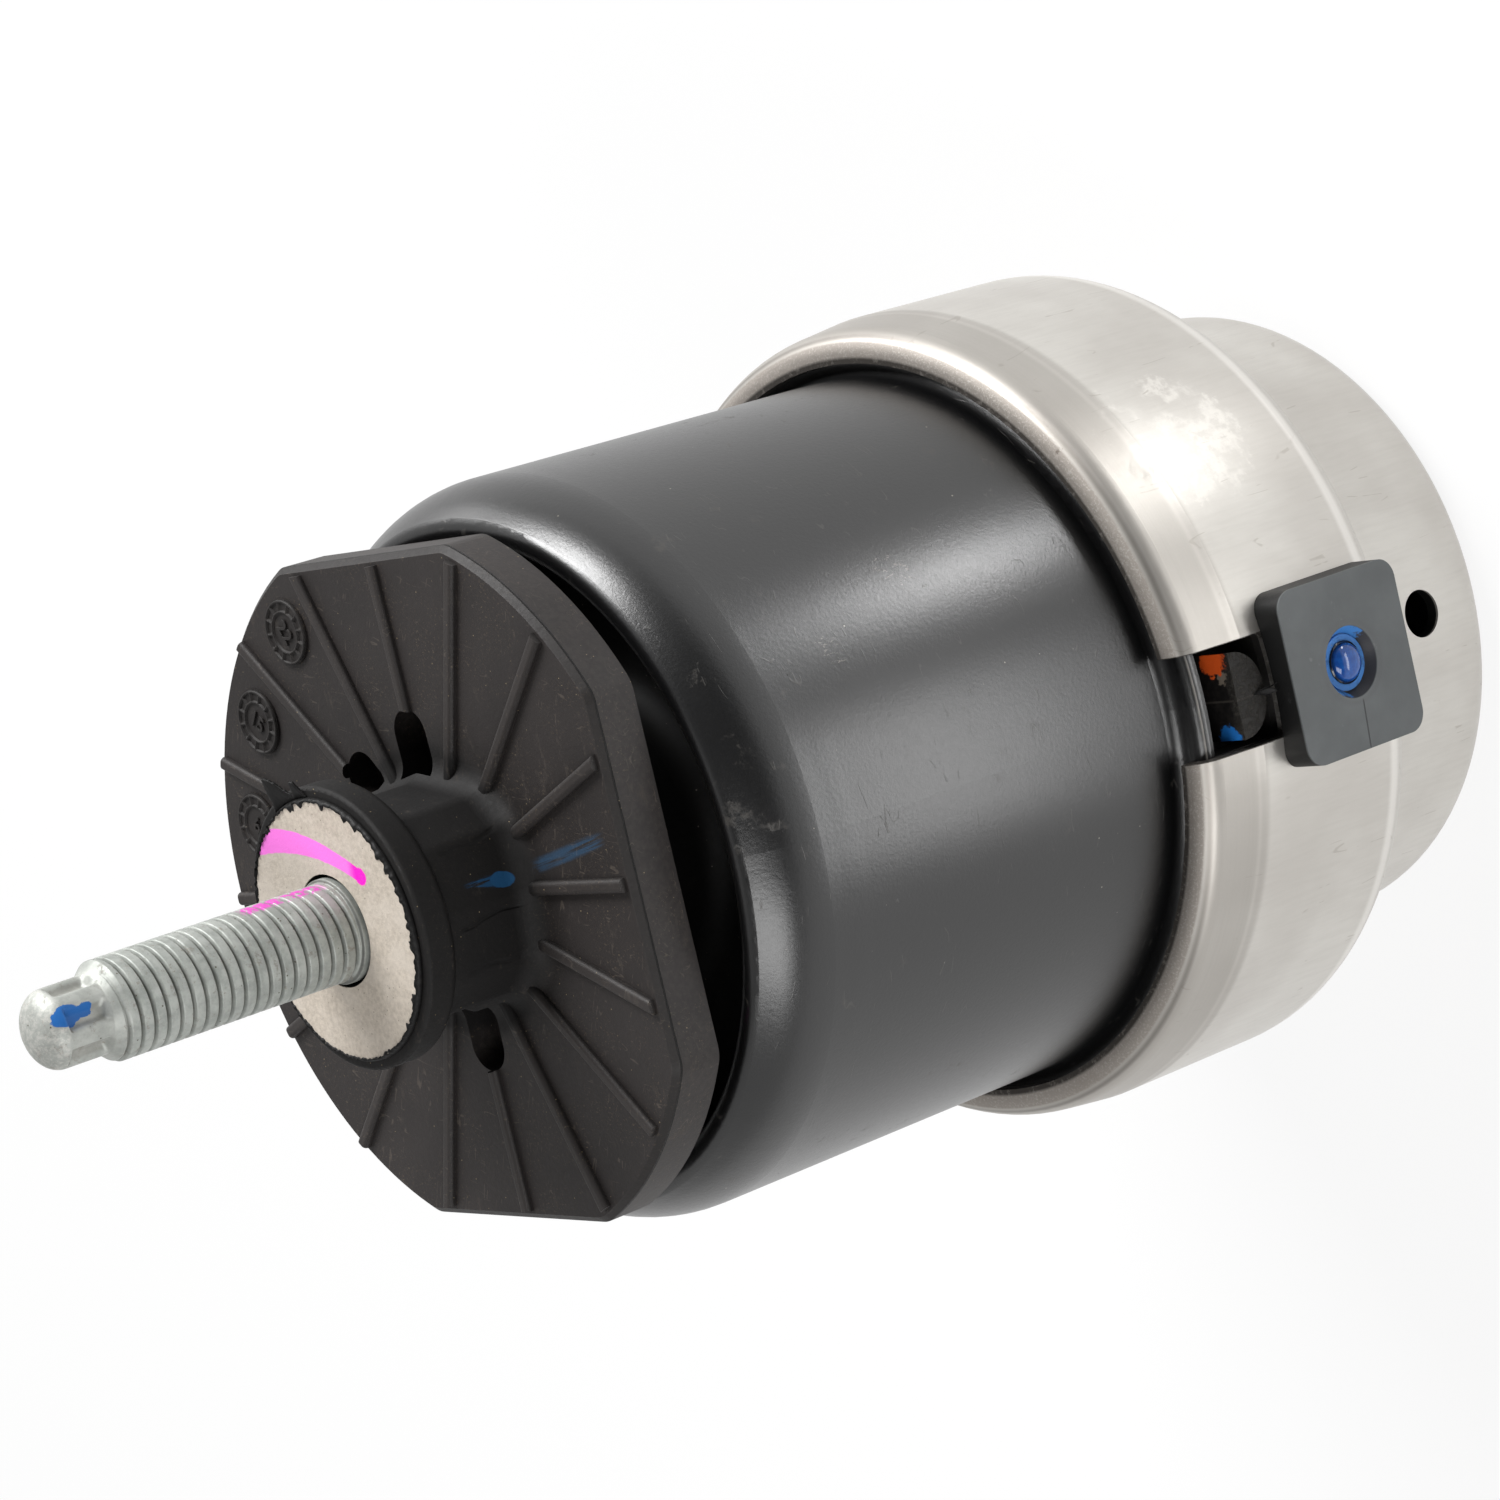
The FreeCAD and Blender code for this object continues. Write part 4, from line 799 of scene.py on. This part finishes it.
finishes = {
    "stud": zinc,
    "core": sandy_cast(),
    "stop_insert": bare_metal("insert_steel", rgb(130, 130, 130), rgb(90, 88, 84), 0.4),
    "stop_buffer": stop,
    "cap": black_paint(),
    "housing": silver_paint(),
    "locating_pad": pad_plastic(),
    "fill_plug": plug,
    "plug_seal": dusty_rubber("seal_painted", rgb(58, 116, 182), rgb(24, 28, 44), 0.8),
    "rebound_buffer": dusty_rubber("rebound_rubber", rgb(10, 9, 9), rgb(30, 28, 26), 0.4),
    "main_spring": spring,
    "spring_ring": bare_metal("ring_steel", rgb(84, 82, 80), rgb(50, 48, 44), 0.45),
    "channel_plate": bare_metal("channel_alloy", rgb(170, 170, 172), rgb(120, 118, 114), 0.45),
    "channel_cover": bare_metal("cover_alloy", rgb(168, 168, 170), rgb(120, 118, 114), 0.45),
    "decoupler_disc": dusty_rubber("disc_rubber", rgb(26, 26, 27), rgb(60, 60, 60), 0.2),
    "diaphragm": dusty_rubber("bag_rubber", rgb(14, 14, 15), rgb(40, 40, 40), 0.2),
    "clamp_ring": bare_metal("clamp_steel", rgb(140, 140, 140), rgb(90, 88, 84), 0.4),
    "base_nut": bare_metal("nut_steel", rgb(150, 148, 142), rgb(96, 92, 84), 0.4),
}
for name, material in finishes.items():
    node = nodes[name]
    if not node.material_slots:
        node.data.materials.append(material)
    for held in node.material_slots:
        held.material = material


def make_floor():
    """A wide pale floor that looks white to the eye and still takes the object's shadow."""
    half = 6.0
    corners = np.array([[-half, -half, 0], [half, -half, 0], [half, half, 0], [-half, half, 0]])
    mesh = bpy.data.meshes.new("floor")
    mesh.from_pydata(corners.tolist(), [], [[0, 1, 2, 3]])
    f = Finish("floor_white", Roughness=0.9, Specular_IOR_Level=0.1)
    f.feed("Base Color", f.blend(f.noise(0.002), (0.80, 0.80, 0.80, 1), (0.82, 0.82, 0.82, 1)))
    path = f.add("ShaderNodeLightPath", output="Is Camera Ray")
    gloss = Value(f, path.socket.node.outputs["Is Glossy Ray"])
    through = Value(f, path.socket.node.outputs["Is Transmission Ray"])
    seen = path.most(gloss).most(through)
    glow = f.add("ShaderNodeEmission", {}, {"Color": (1, 1, 1, 1), "Strength": 1.0})
    mixed = f.add("ShaderNodeMixShader", {}, {0: seen * 0.85, 1: Value(f, f.shader.outputs[0]),
                                              2: glow})
    f.tree.links.new(mixed.socket, f.out.inputs["Surface"])
    mesh.materials.append(f.material)
    floor = bpy.data.objects.new("floor", mesh)
    bpy.context.scene.collection.objects.link(floor)


# The camera's right, up and forward ways, and its place in metres.
RIGHT = Vector((0.61933, -0.22629, -0.75181))
UP = Vector((0.04399, 0.96606, -0.25454))
FORWARD = Vector((-0.78390, -0.12457, -0.60827))
EYE = Vector((0.44522465, 0.07530411, 0.43764763))


def make_camera():
    """The photograph's place of view: a 109 mm lens, rolled so that the mount seems to lie."""
    camera = bpy.data.cameras.new("camera")
    camera.lens = 108.6005
    camera.sensor_width = 36.0
    holder = bpy.data.objects.new("camera", camera)
    turned = Matrix((RIGHT, UP, -FORWARD)).transposed()
    holder.matrix_world = Matrix.Translation(EYE) @ turned.to_4x4()
    bpy.context.scene.collection.objects.link(holder)
    bpy.context.scene.camera = holder


def soft_lamp(name, place, target, width, height, power, gloss_only=False):
    """A rectangular soft lamp that faces its target."""
    lamp = bpy.data.lights.new(name, "AREA")
    lamp.shape = "RECTANGLE"
    lamp.size = width
    lamp.size_y = height
    lamp.energy = power
    holder = bpy.data.objects.new(name, lamp)
    aim = (Vector(target) - Vector(place)).to_track_quat("-Z", "Y")
    holder.matrix_world = Matrix.Translation(Vector(place)) @ aim.to_matrix().to_4x4()
    holder.visible_camera = False
    holder.visible_diffuse = not gloss_only
    bpy.context.scene.collection.objects.link(holder)


def make_world():
    """Pale surroundings, darker on the side from which the photograph is taken, and white where
    the camera sees them directly: the strength is the greater of the level and that flag."""
    world = bpy.data.worlds.new("studio")
    world.use_nodes = True
    tree = world.node_tree
    back = tree.nodes["Background"]
    back.inputs["Color"].default_value = (1, 1, 1, 1)
    look = tree.nodes.new("ShaderNodeTexCoord")
    dot = tree.nodes.new("ShaderNodeVectorMath")
    dot.operation = "DOT_PRODUCT"
    dot.inputs[1].default_value = tuple(-FORWARD)
    level = tree.nodes.new("ShaderNodeMapRange")
    level.interpolation_type = "SMOOTHSTEP"
    fade = {"From Min": 0.2, "From Max": 0.85, "To Min": 0.6, "To Max": 0.12}
    for socket, number in fade.items():
        level.inputs[socket].default_value = number
    tree.links.new(look.outputs["Generated"], dot.inputs[0])
    tree.links.new(dot.outputs["Value"], level.inputs["Value"])
    path = tree.nodes.new("ShaderNodeLightPath")
    seen = tree.nodes.new("ShaderNodeMath")
    seen.operation = "MAXIMUM"
    tree.links.new(level.outputs[0], seen.inputs[0])
    tree.links.new(path.outputs["Is Camera Ray"], seen.inputs[1])
    tree.links.new(seen.outputs[0], back.inputs["Strength"])
    bpy.context.scene.world = world


make_floor()
make_camera()
make_world()
CENTRE = (0.0, 0.0, 0.09)
soft_lamp("key", (-0.32, 1.16, 0.82), CENTRE, 0.9, 0.5, power=27.0)
soft_lamp("fill", (0.80, -0.60, 0.80), CENTRE, 0.6, 0.9, power=9.0)
# The cards light no matt surface: two lie on the floor and mirror in the cap, one is behind.
soft_lamp("band_card", (0.168, 0.0, 0.003), (0.168, 0.0, 1.0), 0.055, 0.11, power=0.10,
          gloss_only=True)
soft_lamp("spot_card", (0.100, 0.102, 0.003), (0.100, 0.102, 1.0), 0.030, 0.030, power=0.055,
          gloss_only=True)
soft_lamp("rear_card", (-0.90, 0.85, 0.35), CENTRE, 0.4, 0.4, power=1.6, gloss_only=True)

bpy.context.scene.view_settings.view_transform = "Standard"
